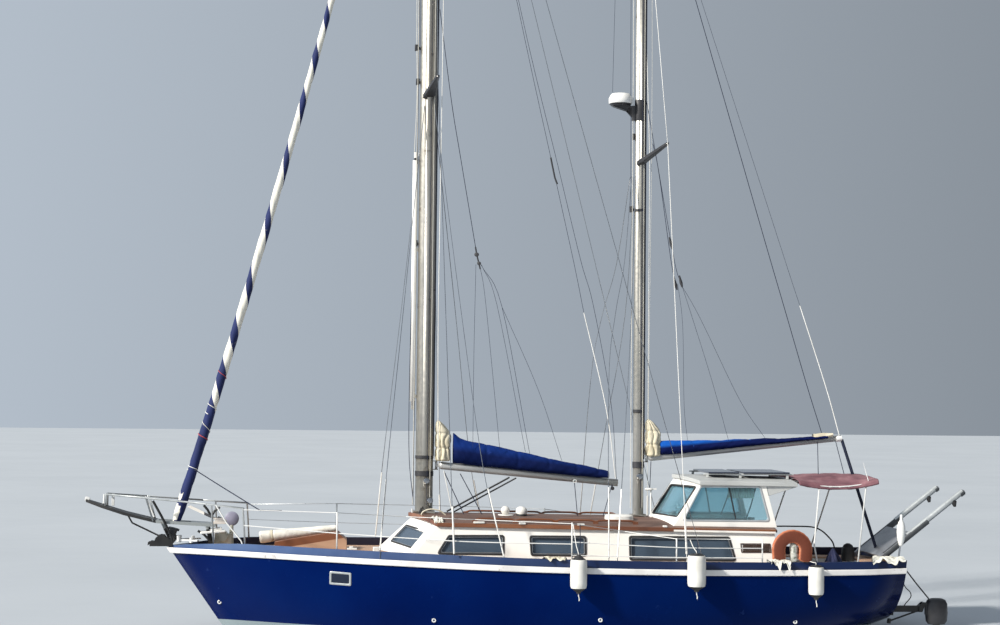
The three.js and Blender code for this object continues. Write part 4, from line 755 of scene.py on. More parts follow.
WINCHES = [(-1.66, -0.09, 2.33), (-1.66, 0.09, 2.36), (-1.60, -0.085, 2.02), (1.76, -0.062, 2.42),
           (1.76, 0.062, 2.42)]
for k, place in enumerate(WINCHES):
    piece(f"mast_winch_{k + 1}", spun(drum, place, axis=(0, np.sign(place[1]), 0)), stainless)
for name, x, chord, root_z, tip in (("main", -1.69, 0.10, 8.47, (-1.60, 0.87, 8.64)),
                                    ("mizzen", 1.75, 0.07, 7.47, (2.05, 0.76, 7.69))):
    for side, hand in SIDES:
        corners, quads, tris = block((0, 0, 0), (1, 1, 1))
        root, end = np.array([x, 0.06, root_z]), np.array(tip)
        out, left = corners[:, 1:2], 1 - corners[:, 1:2]
        chords = (corners[:, :1] - 0.5) * (2 * chord * left + 0.056 * out) * np.array([1, 0, 0.15])
        depth = (corners[:, 2:] - 0.5) * (0.075 * left + 0.046 * out) * np.array([0, 0, 1])
        points = (root + out * (end - root) + chords + depth) * (1, hand, 1)
        piece(f"{name}_spreader_{side}", (points, quads if hand > 0 else quads[:, ::-1], tris), radar_dark,
              round_by=0.01)


# Stowed sails: blue canvas covers over the mainsail and the mizzen on their booms, with the luff of each
# sail bunched in cream folds at the mast. The canvas is laced under the boom and dented where ties hold it.
def eased(s, keys):
    """Values at s between rows of [s, value, value...], joined by straight runs whose corners are then
    averaged away over a span of seven samples."""
    keys = np.array(keys, float)
    rows = np.stack([np.interp(s, keys[:, 0], keys[:, k]) for k in range(1, keys.shape[1])])
    span = 7
    longer = np.pad(rows, ((0, 0), (span // 2, span // 2)), mode="edge")
    return np.stack([np.convolve(row, np.ones(span) / span, "valid") for row in longer])


def draped(keys, folds):
    """Cloth over a long bundle. Rows of keys are [x, foot z, top z, half width]. The angle a goes from the
    foot round one side, over the top and back. The place across is the half width times the three-quarter
    power of the sine of a, 35% narrower at the top; the height runs from foot to top by half of one minus
    the cosine of a; folds push the cloth outwards. Gives the form, and the cloth's girth and length."""
    steps, sides = 260, 72
    x = np.linspace(keys[0][0], keys[-1][0], steps)
    foot, top, half = eased(x, keys)
    a = np.linspace(0.12, 2 * np.pi - 0.12, sides)
    rise = (1 - np.cos(a)) / 2
    across = np.sign(np.sin(a)) * np.abs(np.sin(a)) ** 0.75 * (1 - 0.35 * rise ** 2)
    push = folds(x[:, None], a[None])
    y = half[:, None] * across + push * np.sin(a)
    z = foot[:, None] + (top - foot)[:, None] * rise - push * np.cos(a) * 0.6
    points = np.stack([np.broadcast_to(x[:, None], y.shape), y, z], -1)
    return open_form(points), (mean_length(points, 1), keys[-1][0] - keys[0][0])


def leaning(made, start, end, slope):
    """Mask that climbs from 0 to 1 as the height over a line sloping along the boat passes two values."""
    place = place_parts(made)
    line = worked(made, "MULTIPLY", place[0], slope)
    return climbing(made, worked(made, "SUBTRACT", place[2], line), start, end)


def canvas(name, shade_tone, lit, start, end, slope):
    """Woven canvas, finely woven, paler in spots, with painted shade low down and painted sunlight above a
    sloping line.
    """
    made = finish(name, [shade_tone, tuple(1.35 * c for c in shade_tone)], size=0.35, rough=(0.7, 0.9), relief=0.0006,
                  grain=0.004)
    put(made.node_tree.nodes["Principled BSDF"], {"Specular IOR Level": 0.12})
    over(made, leaning(made, start, end, slope), lit)
    over(made, spots(made, 0.13, 0.66, 0.1), tuple(min(1, 2.2 * c + 0.02) for c in lit))
    return made


# Both covers carry painted light: a dark lower part as painted shade, and a lighter band above a sloping
# line as painted sunlight on the top.
main_canvas = canvas("main_canvas", (0.0012, 0.0065, 0.050), (0.004, 0.024, 0.15), 2.64, 2.74, -0.13)
mizzen_canvas = canvas("mizzen_canvas", (0.001, 0.005, 0.050), (0.006, 0.085, 0.40), 2.655, 2.70, 0.10)
wave = ripple(3, (0.006, 3.1, 1.0), (0.004, 7.7, -2.0), (0.003, 15.0, 3.0))
fine_wave = ripple(4, (0.0018, 41, 5), (0.0014, 63, -7))


def main_folds(x, a):
    """Long diagonal creases from the collar, fading aft, and a shallow dent at each tie."""
    crease = np.sin(2.6 * a + 9 * (x + 1.2)) * np.exp(-((x + 1.2) / 0.55) ** 2) * 0.011
    ties = sum(np.exp(-((x - t) / 0.03) ** 2) for t in (-0.7, -0.2, 0.3, 0.75, 1.1)) * 0.007
    return wave(x, a) + fine_wave(x, a) * 0.7 + crease - ties * np.clip(1 - np.cos(a), 0, 1.4)


MAIN_COVER = [[-1.235, 2.60, 3.085, 0.10], [-1.20, 2.595, 3.06, 0.115], [-1.13, 2.59, 3.0, 0.125],
              [-0.98, 2.575, 2.955, 0.13], [-0.5, 2.53, 2.865, 0.135], [0.0, 2.485, 2.76, 0.125],
              [0.5, 2.44, 2.655, 0.112], [0.96, 2.40, 2.565, 0.095], [1.24, 2.375, 2.50, 0.08],
              [1.27, 2.375, 2.49, 0.072]]
form, flat = draped(MAIN_COVER, main_folds)
cover = piece("main_cover", form, main_canvas, body="main_boom")
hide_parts("main_sail_cover")

MIZZEN_COVER = [[2.10, 2.76, 2.985, 0.085], [2.16, 2.765, 2.99, 0.10], [2.42, 2.785, 2.99, 0.115],
                [2.9, 2.835, 3.005, 0.118], [3.5, 2.90, 3.02, 0.115], [4.1, 2.965, 3.045, 0.105],
                [4.5, 3.01, 3.075, 0.092], [4.80, 3.04, 3.09, 0.07], [4.86, 3.05, 3.085, 0.055]]


def mizzen_folds(x, a):
    """Soft lumps along the top where the folded sail lies in the cloth, and a shallow dent at each tie."""
    lumps = np.sin(5.2 * x + 1.3) * 0.010 + np.sin(11.7 * x + 0.4) * 0.006
    ties = sum(np.exp(-((x - t) / 0.03) ** 2) for t in (2.62, 3.1, 3.55, 4.05, 4.45)) * 0.006
    return (lumps - ties) * np.clip(-np.cos(a), 0, 1) + wave(x, a) * 0.7 + fine_wave(x, a) * 0.7


form, flat = draped(MIZZEN_COVER, mizzen_folds)
cover = piece("mizzen_cover", form, mizzen_canvas, body="mizzen_boom")
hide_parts("mizzen_sail_cover")


def bundle(low, high, near, far, tip, half, seed):
    """Sail flaked at the mast: an upright bundle between two heights that reaches from near to far, and
    only to tip at its top, with deep folds that wander as they go up, pinched where two ties hold it; a
    fold is a sharpened sine of the turn round it. Gives the form, and the cloth's girth and length."""
    steps, sides = 90, 96
    lower_tie, upper_tie, tie_wide = 0.32, 0.68, 0.035
    t = np.linspace(0, 1, steps)[:, None]
    a = np.linspace(0.08, 2 * np.pi - 0.08, sides)[None]
    drift = ripple(seed, (1.1, 3.0, 1.0), (0.6, 8.0, 2.0), (0.35, 17.0, -3.0))
    fold = np.abs(np.sin(3.5 * a + drift(t, a))) ** 0.7 * 0.35 + 0.72
    pinch = (1 - 0.16 * np.exp(-((t - lower_tie) / tie_wide) ** 2)
             - 0.14 * np.exp(-((t - upper_tie) / tie_wide) ** 2))
    edge = far + (tip - far) * np.clip((t - upper_tie) / (1 - upper_tie), 0, 1)
    middle, reach = (near + edge) / 2, (edge - near) / 2
    head, foot = np.clip((t - 0.86) / 0.14, 0, 1), np.clip(0.75 + t * 6, 0, 1)
    crown = np.sqrt(np.clip(1 - head ** 2, 0.02, 1)) * foot
    x = middle + reach * np.cos(a) * fold * pinch * crown
    y = half * np.sin(a) * fold * pinch * crown * (1 - 0.35 * t)
    z = np.broadcast_to(low + (high - low) * t, x.shape)
    points = np.stack([x, y, z], -1)
    return open_form(points), (mean_length(points, 1), high - low)


sail_cloth = finish("sail_cloth", [(0.50, 0.44, 0.31), (0.62, 0.56, 0.42), (0.72, 0.66, 0.52)], size=0.3,
                    rough=(0.7, 0.85), relief=0.0008, grain=0.008)
form, flat = bundle(2.635, 3.285, -1.518, -1.275, -1.445, 0.115, 8)
luff = piece("main_luff", form, sail_cloth, body=None)
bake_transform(luff)
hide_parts("main_sail_cover")
form, flat = bundle(2.735, 3.335, 1.862, 2.11, 1.95, 0.10, 9)
luff = piece("mizzen_luff", form, sail_cloth, body=None)
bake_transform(luff)
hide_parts("mizzen_sail_cover")


# Headsail, a cream genoa rolled up on its stay so that its blue sacrificial strip winds round it as a band,
# with the strip alone showing near the foot, tied there with thin line. Below it is the furler's drum.
STAY_FOOT, STAY_RUN = np.array([-5.64, 0, 1.4]), np.array([3.76, 0, 14.3])
stay_along = STAY_RUN / np.linalg.norm(STAY_RUN)
stay_fore = np.array([-stay_along[2], 0, stay_along[0]])


def on_stay(s):
    """Place on the forestay at a share of its length: a straight line that sags 0.125 m in its middle."""
    s = np.asarray(s, float)[..., None]
    return STAY_FOOT + s * STAY_RUN + 0.5 * s * (1 - s) * np.array([1, 0, 0])


def round_stay(turn):
    """Direction square to the forestay: forward, and turned about the stay by an angle."""
    return np.cos(turn) * stay_fore + np.sin(turn) * np.array([0, 1, 0])


def banded(name, band, ground):
    """Woven cloth in two colours: ground where the fraction of one texture place is under the other."""
    made = finish(name, [band, tuple(1.4 * c for c in band)], size=0.5, rough=(0.7, 0.9), relief=0.0006,
                  grain=0.004)
    place = place_parts(made, "UVMap", "UV")
    over(made, worked(made, "LESS_THAN", worked(made, "FRACT", place[0]), place[1]), ground)
    over(made, spots(made, 0.2, 0.66, 0.08), tuple(0.55 * g for g in ground), gloss=0.9)
    return made


# How the sail is rolled: the band's turns by height in metres; the share of each turn that shows cream, by
# turn; and the roll's radius by share of the stay.
rolled_cloth = banded("rolled_cloth", (0.004, 0.012, 0.075), (0.80, 0.77, 0.68))
TURNS = [(14.9, -8.6), (9.717, 0), (9.066, 1), (8.352, 2), (7.473, 3), (6.494, 4), (5.456, 5), (4.621, 6),
         (3.918, 7), (3.2, 8), (1.4, 11)]
CREAM_SHARE = [(-9, 0.55), (0, 0.6), (1, 0.59), (2, 0.62), (3, 0.72), (4, 0.71), (5, 0.66), (6, 0.53),
               (7, 0.42), (7.9, 0.0)]
ROLL_RADIUS = [(0.0175, 0.060), (0.03, 0.077), (0.3, 0.065), (0.93, 0.033)]
roll_rings, roll_sides = 460, 49
s, t = np.meshgrid(np.linspace(ROLL_RADIUS[0][0], ROLL_RADIUS[-1][0], roll_rings),
                   np.linspace(0, 1, roll_sides), indexing="ij")
height = STAY_FOOT[2] + STAY_RUN[2] * s
heights, turns = np.array(TURNS)[::-1].T
wound = np.interp(height, heights, turns) - t
cream = np.interp(wound, *np.array(CREAM_SHARE).T)
torn, fore = 0.012 * np.sin(6 * 2 * np.pi * t), np.minimum(t, 1 - t)
ring_of_cream = (height > 1.99 + torn) & (height < 2.10 + torn) & (fore < 0.2)
foot_of_cream = (height < 1.93 - torn) & (fore < 0.16 + 0.1 * (height > 1.70))
cream = np.where(ring_of_cream | foot_of_cream, 1.01, cream)
lumps = ripple(6, (0.002, 90, 2), (0.0016, 210, 3), (0.001, 420, 5))(s, 2 * np.pi * t)
radius = np.interp(s, *np.array(ROLL_RADIUS).T) * (0.97 + 0.07 * (wound % 1)) + lumps
points = on_stay(s) + radius[..., None] * round_stay(-2 * np.pi * t[..., None])
genoa = piece("genoa", open_form(points), rolled_cloth,
              uv=np.stack([wound, cream], -1).reshape(-1, 2), sharp=70)
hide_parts("furled_genoa")
red_line = finish("red_line", [(0.35, 0.04, 0.05), (0.5, 0.08, 0.08)], size=0.1, rough=(0.7, 0.9))


def lashing(name, z_high, z_low, turns, thick, look_of):
    """Line wound round the rolled sail from one height down to another."""
    z = np.linspace(z_high, z_low, int(30 * turns) + 2)
    s = (z - STAY_FOOT[2]) / STAY_RUN[2]
    turn = np.linspace(0, -2 * np.pi * turns, len(z))[:, None]
    out = (np.interp(s, *np.array(ROLL_RADIUS).T) * 1.06 + thick * 0.6)[:, None]
    piece(name, tube(on_stay(s) + out * round_stay(turn), thick, sides=6), look_of)


lashing("genoa_line_1", 3.50, 3.34, 1.2, 0.006, white_paint)
lashing("genoa_line_2", 3.22, 2.98, 0.9, 0.005, pale_rope)
lashing("genoa_line_3", 3.02, 2.93, 0.8, 0.008, red_line)
lashing("genoa_line_4", 4.02, 3.9, 0.7, 0.005, red_line)
lashing("genoa_tie", 2.52, 2.46, 1.1, 0.006, white_paint)
flange = [[0, -0.016], [0.086, -0.016], [0.09, 0], [0.086, 0.016], [0, 0.016]]
for k, (share, shrink) in enumerate([(0.0105, 1.0), (0.0035, 1.0), (0.0, 0.5)]):
    disc = spun([[r * shrink, h] for r, h in flange], on_stay(share), axis=stay_along)
    disc = piece(f"furler_flange_{k + 1}", disc, radar_dark if shrink == 1 else stainless)
    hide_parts("furled_genoa")
piece("furler_drum", spun([[0.05, -0.05], [0.06, -0.04], [0.06, 0.04], [0.05, 0.05]], on_stay(0.007),
                          axis=stay_along), radar_dark)
piece("forestay_wire", tube(on_stay(np.linspace(0.9, 1, 8)), 0.006, sides=8), stainless)


# Rigging: the stays of the CAD part, in stainless wire or, on the mizzen, sleeved in white, and beside them
# the lower shrouds, the lifts and lazy jacks that keep the booms and the stowed sails up, and lines at the
# masts. A white sleeve covers each shroud's turnbuckle, and each line is drawn taut between its eyes.
def wire(name, points, thick, look_of, body="hull"):
    """Line through the points, straight where it has only two."""
    route = np.array(points, float)
    if len(route) == 2:
        route = route[0] + (route[1] - route[0]) * np.linspace(0, 1, 12)[:, None]
    else:
        route = smooth_line(route, 6)
    return piece(name, tube(route, thick, sides=6), look_of, body=body)


for node in ("main_shroud", "backstay", "mizzen_shroud"):
    for side in ("port", "starboard"):
        dress(f"{node}_{side}", white_paint if node == "mizzen_shroud" else stainless)
LOWERS = {
    "main_fore_lower": [(-1.76, -0.09, 8.30), (-2.06, -0.45, 5.14), (-2.31, -1.12, 2.62),
                        (-2.414, -1.36, 1.32)],
    "main_aft_lower": [(-1.60, -0.09, 8.30), (-1.16, -0.62, 4.87), (-0.86, -1.25, 2.59),
                       (-0.56, -1.64, 1.24)],
    "mizzen_fore_lower": [(1.60, -0.07, 7.25), (1.44, -0.40, 5.86), (1.25, -0.70, 5.00),
                          (1.11, -0.95, 3.96), (1.02, -1.66, 1.24)],
    "mizzen_inner_lower": [(1.66, -0.07, 7.25), (1.57, -0.30, 5.02), (1.36, -1.00, 3.09),
                           (1.15, -1.65, 1.24)],
}
for name, points in LOWERS.items():
    for side, hand in SIDES:
        points_here = np.array(points) * (1, -hand, 1)
        wire(f"{name}_{side}", points_here, 0.0055, stainless)
        foot = points_here[-1]
        toward = points_here[-2] - foot
        toward /= np.linalg.norm(toward)
        wire(f"{name}_sleeve_{side}", [foot + 0.02 * toward, foot + 0.55 * toward, foot + 1.1 * toward],
             0.011, white_paint)
        piece(f"{name}_plate_{side}", bar(foot - (0, 0, 0.16), foot + 0.05 * toward, 0.035, 0.008,
                                          up=(1, 0, 0)), stainless)
for name, x, y in (("main_shroud", -1.314, 1.66), ("mizzen_shroud", 2.21, 1.66)):
    for side, hand in SIDES:
        head = np.array([-1.6, 0.87 * hand, 8.64]) if x < 0 else np.array([2.05, 0.76 * hand, 7.69])
        foot = np.array([x, y * hand, 1.27])
        toward = (head - foot) / np.linalg.norm(head - foot)
        wire(f"{name}_sleeve_{side}", [foot + 0.05 * toward, foot + 0.4 * toward, foot + 0.75 * toward],
             0.016, white_paint)


# Lifts and lazy jacks of the main boom: one line down from the masthead side, a block, and legs to the
# boom. They ride on the boom, whose pivot is close under their heads.
def boom_lines(lines, boom):
    """Lines that ride on a boom, apart from a jack's upper line, which stretches between mast and boom."""
    for name, (thick, look_of, *points) in lines.items():
        stretches = name.endswith("_jack")
        line = wire(name, points, thick, look_of, body=None if stretches else boom)
        if stretches:
            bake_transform(line)


MAIN_LINES = {
    "main_topping_lift": (0.004, dark_rope, (-1.45, 0, 15.5), (-0.29, 0, 10.08), (0.29, 0, 7.53),
                          (0.67, 0, 5.88), (0.85, 0, 5.03)),
    "main_lift_tail": (0.008, white_paint, (0.85, 0, 5.03), (1.22, 0, 3.52), (1.385, 0, 2.38)),
    "main_lift_fall": (0.004, dark_rope, (-1.44, 0.02, 15.5), (-0.26, 0, 10.08), (0.42, 0, 7.35),
                       (0.79, 0, 5.88), (1.0, 0, 5.16), (1.3, 0, 3.6), (1.40, 0, 2.36)),
    "main_jack": (0.0055, dark_rope, (-1.53, -0.02, 9.88), (-1.33, -0.05, 8.40), (-1.17, -0.08, 7.46),
                  (-0.90, -0.10, 5.94)),
    "main_jack_leg_1": (0.003, dark_rope, (-0.91, -0.1, 5.77), (-0.93, -0.15, 4.39), (-0.93, -0.13, 2.86)),
    "main_jack_leg_2": (0.003, dark_rope, (-0.85, -0.1, 5.77), (-0.75, -0.13, 5.16), (-0.50, -0.14, 2.83)),
    "main_jack_leg_3": (0.003, dark_rope, (-0.82, -0.08, 5.77), (-0.56, -0.02, 5.14), (-0.07, 0.05, 2.79)),
    "main_jack_leg_4": (0.004, dark_rope, (-0.83, -0.1, 5.77), (-0.49, -0.12, 5.11), (-0.02, -0.12, 2.77)),
    "main_jack_leg_5": (0.003, dark_rope, (-0.49, -0.1, 5.11), (0.10, -0.13, 3.8), (0.5, -0.10, 2.66)),
}
boom_lines(MAIN_LINES, "main_boom")
wheels = [spun([[0, -0.02], [r, -0.016], [r, 0.016], [0, 0.02]], place, axis=(0.3, 1, 0))
          for r, place in ((0.035, (-0.90, -0.1, 5.93)), (0.03, (-0.86, -0.1, 5.79)))]
link = tube([[-0.92, -0.1, 6.05], [-0.90, -0.1, 5.93], [-0.86, -0.1, 5.78], [-0.84, -0.09, 5.70]], 0.012)
piece("main_jack_block", together(*wheels, link), radar_dark, body="main_boom")
piece("main_lift_shackle", tube([[0.40, 0, 7.10], [0.36, 0, 7.20], [0.31, 0, 7.43], [0.29, 0, 7.53]],
                                0.014), radar_dark, body="main_boom")

# Lines of the mizzen, in the same way, with a dark block at each of the jack's joints.
MIZZEN_LINES = {
    "mizzen_jack": (0.005, dark_rope, (1.84, -0.03, 8.50), (2.00, -0.05, 7.60), (2.30, -0.10, 5.90),
                    (2.41, -0.12, 5.53)),
    "mizzen_jack_inner": (0.005, dark_rope, (1.96, 0.02, 7.8), (2.07, 0.05, 7.32), (2.28, 0.08, 5.92),
                          (2.37, 0.1, 5.54)),
    "mizzen_jack_leg_1": (0.003, dark_rope, (2.36, -0.1, 5.52), (2.44, -0.12, 4.84), (2.47, -0.12, 3.58),
                          (2.53, -0.11, 3.0)),
    "mizzen_jack_leg_2": (0.003, dark_rope, (2.41, -0.12, 5.53), (2.62, -0.12, 4.90), (2.92, -0.12, 3.97),
                          (3.2, -0.12, 3.0)),
    "mizzen_jack_leg_3": (0.003, dark_rope, (2.43, 0.08, 5.55), (2.77, 0.1, 4.98), (3.43, 0.1, 3.66),
                          (3.86, 0.1, 3.03)),
    "mizzen_topping_lift": (0.006, dark_rope, (1.88, 0, 12.7), (2.65, 0, 10.17), (3.76, 0, 6.43),
                            (4.19, 0, 5.00), (4.52, 0, 3.9), (4.78, 0, 3.09)),
    "mizzen_lift_fall": (0.003, dark_rope, (1.9, 0, 12.7), (2.74, 0, 10.18), (4.11, 0, 6.06),
                         (4.40, 0, 5.2)),
    "mizzen_lift_tail": (0.008, white_paint, (4.40, 0, 5.2), (4.83, 0, 3.90), (5.06, 0, 3.10)),
}
boom_lines(MIZZEN_LINES, "mizzen_boom")
for k, (x, y, z) in enumerate([(2.41, -0.12, 5.53), (2.37, 0.1, 5.50), (2.25, -0.09, 6.15)]):
    piece(f"mizzen_jack_block_{k + 1}", tube([[x - 0.03, y, z + 0.12], [x, y, z], [x + 0.02, y, z - 0.07]],
                                             [0.012, 0.026, 0.012]), radar_dark, body="mizzen_boom")

# Fixed lines at the masts: the pole's lift, the radar's lead, and the halyards that stand off the masts;
# the jib's sheet, led aft along the pulpit; and small dark blocks on the masts' fore sides.
FIXED = {
    "pole_lift": (0.005, pale_rope, (-1.90, -0.02, 15.6), (-1.90, -0.02, 10.02), (-1.88, -0.02, 8.57),
                  (-1.91, 0, 7.56)),
    "pole_lift_fall": (0.004, dark_rope, (-1.86, 0.02, 15.6), (-1.84, 0.02, 10.03), (-1.84, 0.02, 8.72)),
    "radar_lead": (0.003, dark_rope, (1.60, 0, 12.8), (1.34, 0, 10.6), (1.32, 0, 10.13), (1.29, 0, 8.62)),
    "mizzen_fore_halyard": (0.0045, dark_rope, (1.60, -0.02, 12.75), (1.58, -0.02, 10.14),
                            (1.60, -0.02, 6.74)),
    "mizzen_aft_halyard": (0.003, pale_rope, (1.90, -0.05, 12.8), (1.93, -0.05, 8.34), (1.90, -0.05, 3.2)),
    "main_aft_halyard": (0.006, white_paint, (-1.50, -0.13, 15.6), (-1.48, -0.10, 10.0),
                         (-1.50, -0.10, 4.99), (-1.475, -0.10, 2.66)),
    "main_fore_halyard": (0.006, dark_rope, (-1.88, 0.0, 7.3), (-1.93, -0.02, 5.0), (-1.94, -0.03, 2.9),
                          (-1.86, -0.04, 2.0)),
    "jib_sheet": (0.009, dark_rope, (-5.30, -0.06, 2.485), (-4.95, -0.27, 2.285), (-4.60, -0.49, 2.09),
                  (-4.26, -0.725, 1.905), (-4.20, -0.755, 1.893), (-3.9, -0.87, 1.894)),
}
for name, (thick, look_of, *points) in FIXED.items():
    wire(name, points, thick, look_of)
BLOCKS = [(-1.875, 9.25, 0.05), (-1.865, 8.70, 0.035), (-1.875, 7.42, 0.04), (-1.86, 6.1, 0.03),
          (1.62, 6.72, 0.035), (1.64, 7.9, 0.022)]
for k, (x, z, wide) in enumerate(BLOCKS):
    cheeks = block((x - wide, -0.03, z - 0.05), (x + 0.02, 0.03, z + 0.05))
    arm = bar([x, 0, z], [x + 0.09, 0, z - 0.03], 0.03, 0.04)
    piece(f"mast_block_{k + 1}", together(cheeks, arm), radar_dark, round_by=0.006)


# Bow: the sprit, black with a grey top and spots of rust, with a pulpit of stainless tube round it. Below
# it hangs the anchor, behind it stands the windlass's gear; white chocks are screwed on at both sides.
rail_white = finish("rail_white", [(0.66, 0.66, 0.64), (0.80, 0.80, 0.78)], size=0.3, rough=(0.25, 0.4))
pale_steel = finish("pale_steel", [(0.40, 0.42, 0.42), (0.58, 0.60, 0.60)], size=0.3, rough=(0.25, 0.4),
                    metal=0.5)
black_paint, sprit_paint = (finish(name, [(0.006, 0.006, 0.007), (0.02, 0.019, 0.018)], size=0.15,
                                   rough=(0.4, 0.6), relief=0.0006, grain=0.02)
                            for name in ("black_paint", "sprit_paint"))
over(sprit_paint, inside(sprit_paint, (-5.86, -FAR, 1.56), (FAR, FAR, FAR)), (0.26, 0.28, 0.28), gloss=0.35)
over(sprit_paint, spots(sprit_paint, 0.07, 0.64, 0.05), (0.09, 0.035, 0.015), gloss=0.8)
dress("bowsprit", sprit_paint, round_by=0.003)
dress("pulpit", pale_steel, smooth_to=50)
braces = [([[-6.70, 0.15, 2.075], [-6.70, 0.13, 1.98], [-6.70, 0.1, 1.93]], 0.011),
          ([[-6.06, 0.23, 2.04], [-5.99, 0.2, 1.88], [-5.92, 0.18, 1.72]], 0.012),
          ([[-4.92, -0.53, 1.955], [-4.76, -0.58, 1.70], [-4.52, -0.65, 1.42], [-4.46, -0.66, 1.27]],
           0.0105)]
piece("pulpit_braces", together(*(tube(*brace) for brace in braces)), rail_white)
piece("pulpit_leg", tube([[-5.90, -0.28, 2.00], [-5.76, -0.25, 1.75], [-5.61, -0.19, 1.44],
                          [-5.60, -0.12, 1.36]], 0.02), black_paint)
piece("sprit_cap", spun([[0.001, -0.03], [0.036, -0.026], [0.04, 0.0], [0.036, 0.045]], (-6.945, 0, 2.008),
                        axis=(0.96, 0, -0.28)), rail_white)
piece("pulpit_plate", block((-6.575, 0.09, 1.90), (-6.53, 0.115, 2.085)), rail_white,
      round_by=0.004)
anchor_paint = finish("anchor_paint", [(0.03, 0.03, 0.035), (0.06, 0.06, 0.065)], size=0.1,
                      rough=(0.45, 0.65), relief=0.0008, grain=0.02)
over(anchor_paint, inside(anchor_paint, (-5.45, -FAR, 1.0), (-5.12, FAR, 3.0)), (0.72, 0.68, 0.62))
over(anchor_paint, inside(anchor_paint, (-5.10, -FAR, 1.0), (-4.60, FAR, 1.735)), (0.66, 0.60, 0.54))
dress("anchor", anchor_paint, round_by=0.004)
stock = (tube([[-5.13, -0.16, 1.93], [-5.07, -0.15, 1.86], [-5.01, -0.15, 1.75]], 0.019),
         tube([[-5.01, -0.15, 1.75], [-4.96, -0.15, 1.84], [-4.88, -0.15, 1.90]], 0.019))
piece("anchor_stock", together(*stock), black_paint)
windlass_grey = finish("windlass_grey", [(0.36, 0.36, 0.30), (0.52, 0.52, 0.44), (0.62, 0.60, 0.52)],
                       size=0.15, rough=(0.35, 0.55), relief=0.0006, grain=0.02)
dress("windlass", windlass_grey, round_by=0.012)
lilac_vinyl = finish("lilac_vinyl", [(0.20, 0.20, 0.27), (0.30, 0.29, 0.38)], size=0.1, rough=(0.4, 0.6))
dish = [[0, -0.035], [0.09, -0.033], [0.112, -0.015], [0.112, 0.015], [0.09, 0.033], [0, 0.035]]
piece("windlass_dish", spun(dish, (-4.71, 0.16, 1.70), axis=(0, 1, 0), sides=32), lilac_vinyl)
piece("windlass_post", tube([[-4.72, 0.16, 1.24], [-4.715, 0.16, 1.45], [-4.71, 0.16, 1.62]],
                            [0.05, 0.035, 0.03]), windlass_grey)
covers = (bar([-5.18, -0.16, 1.505], [-4.80, -0.1, 1.53], 0.2, 0.035),
          bar([-5.02, -0.16, 1.535], [-4.86, -0.1, 1.57], 0.12, 0.04))
piece("chain_cover", together(*covers), cream_gelcoat, round_by=0.008)
piece("brake_lever", tube([[-5.21, -0.2, 1.535], [-5.12, -0.2, 1.485], [-5.05, -0.2, 1.41],
                           [-4.99, -0.2, 1.35], [-4.93, -0.19, 1.24]], 0.019), black_paint)
for side, hand in SIDES:
    front = spun([[0.034, -0.04], [0.03, 0.03], [0.036, 0.055], [0.0, 0.06]], (-5.51, hand * 0.07, 1.39),
                 sides=16)
    after = spun([[0.026, -0.03], [0.024, 0.03], [0.03, 0.045], [0, 0.05]], (-5.31, hand * 0.19, 1.38),
                 sides=16)
    between = bar([-5.47, hand * 0.085, 1.385], [-5.20, hand * 0.235, 1.385], 0.06, 0.022)
    piece(f"bow_chock_{side}", together(front, after, between), rail_white,
          round_by=0.003)

# Guard rails: wires sleeved in white plastic through white-painted posts, a second wire half way down, and
# a white foot under each post. The far side is bare stainless.
dress("guard_rail_port", rail_white, smooth_to=50)
dress("guard_rail_starboard", pale_steel, smooth_to=50)
LOWER_WIRE = [
    [(-4.48, 0.69, 1.655), (-3.06, 1.12, 1.575), (-2.03, 1.43, 1.53), (-1.0, 1.62, 1.49),
     (0.45, 1.715, 1.47)],
    [(0.45, 1.715, 1.50), (2.05, 1.695, 1.42), (3.40, 1.58, 1.40)],
    [(0.45, 1.715, 1.30), (2.05, 1.695, 1.27), (3.40, 1.58, 1.255)],
]
for side, hand, look_of, thick in (("port", -1, rail_white, 0.0075), ("starboard", 1, pale_steel, 0.004)):
    for k, points in enumerate(LOWER_WIRE):
        wire(f"lower_wire_{side}_{k + 1}", np.array(points) * (1, hand, 1), thick, look_of)

# Foredeck: a low companion hatch, mahogany over a teak coaming, on which lie a rolled white awning tied
# with a strap and a few small things.
hatch_wood = finish("hatch_wood", [(0.42, 0.25, 0.16), (0.52, 0.33, 0.22)], size=0.2, rough=(0.5, 0.7),
                    relief=0.0006, grain=0.01, stretch=(0.25, 1, 1))
over(hatch_wood, leaning(hatch_wood, 1.925, 1.935, 0.167), (0.20, 0.075, 0.035), gloss=0.35)
dress("foredeck_hatch", hatch_wood, round_by=0.006)
awning_cloth = finish("awning_cloth", [(0.70, 0.67, 0.58), (0.82, 0.80, 0.74)], size=0.2, rough=(0.7, 0.85),
                      relief=0.0008, grain=0.006)
roll_rings, roll_sides = 120, 64
roll_head, roll_run, roll_up = np.array([[-4.265, 0, 1.424], [1.22, 0, 0.153], [-0.125, 0, 0.992]])
s, a = np.linspace(0, 1, roll_rings), np.linspace(0, 2 * np.pi, roll_sides, endpoint=False)
s, a = np.meshgrid(s, a, indexing="ij")
strapped = 0.012 * np.exp(-((s - 0.16) / 0.018) ** 2)
swell = ripple(12, (0.0015, 13, 1), (0.0012, 31, -2), (0.0006, 90, 3))(s, a) - strapped
lap = 0.010 * ((a + 0.8 * s - 1.0) % (2 * np.pi)) / (2 * np.pi)
radius = np.interp(s, [0, 0.02, 0.5, 0.97, 1], [0.075, 0.094, 0.070, 0.044, 0.03]) + swell + lap
out = np.cos(a)[..., None] * np.array([0, 1, 0]) + np.sin(a)[..., None] * roll_up
points = roll_head + s[..., None] * roll_run + radius[..., None] * out
points = np.concatenate([points.reshape(-1, 3), [[-4.262, 0, 1.424], [-3.047, 0, 1.577]]])
form = points, grid(roll_rings, roll_sides), end_caps(roll_rings, roll_sides)[:, ::-1]
awning = piece("rolled_awning", form, awning_cloth)
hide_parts("foredeck_roll")
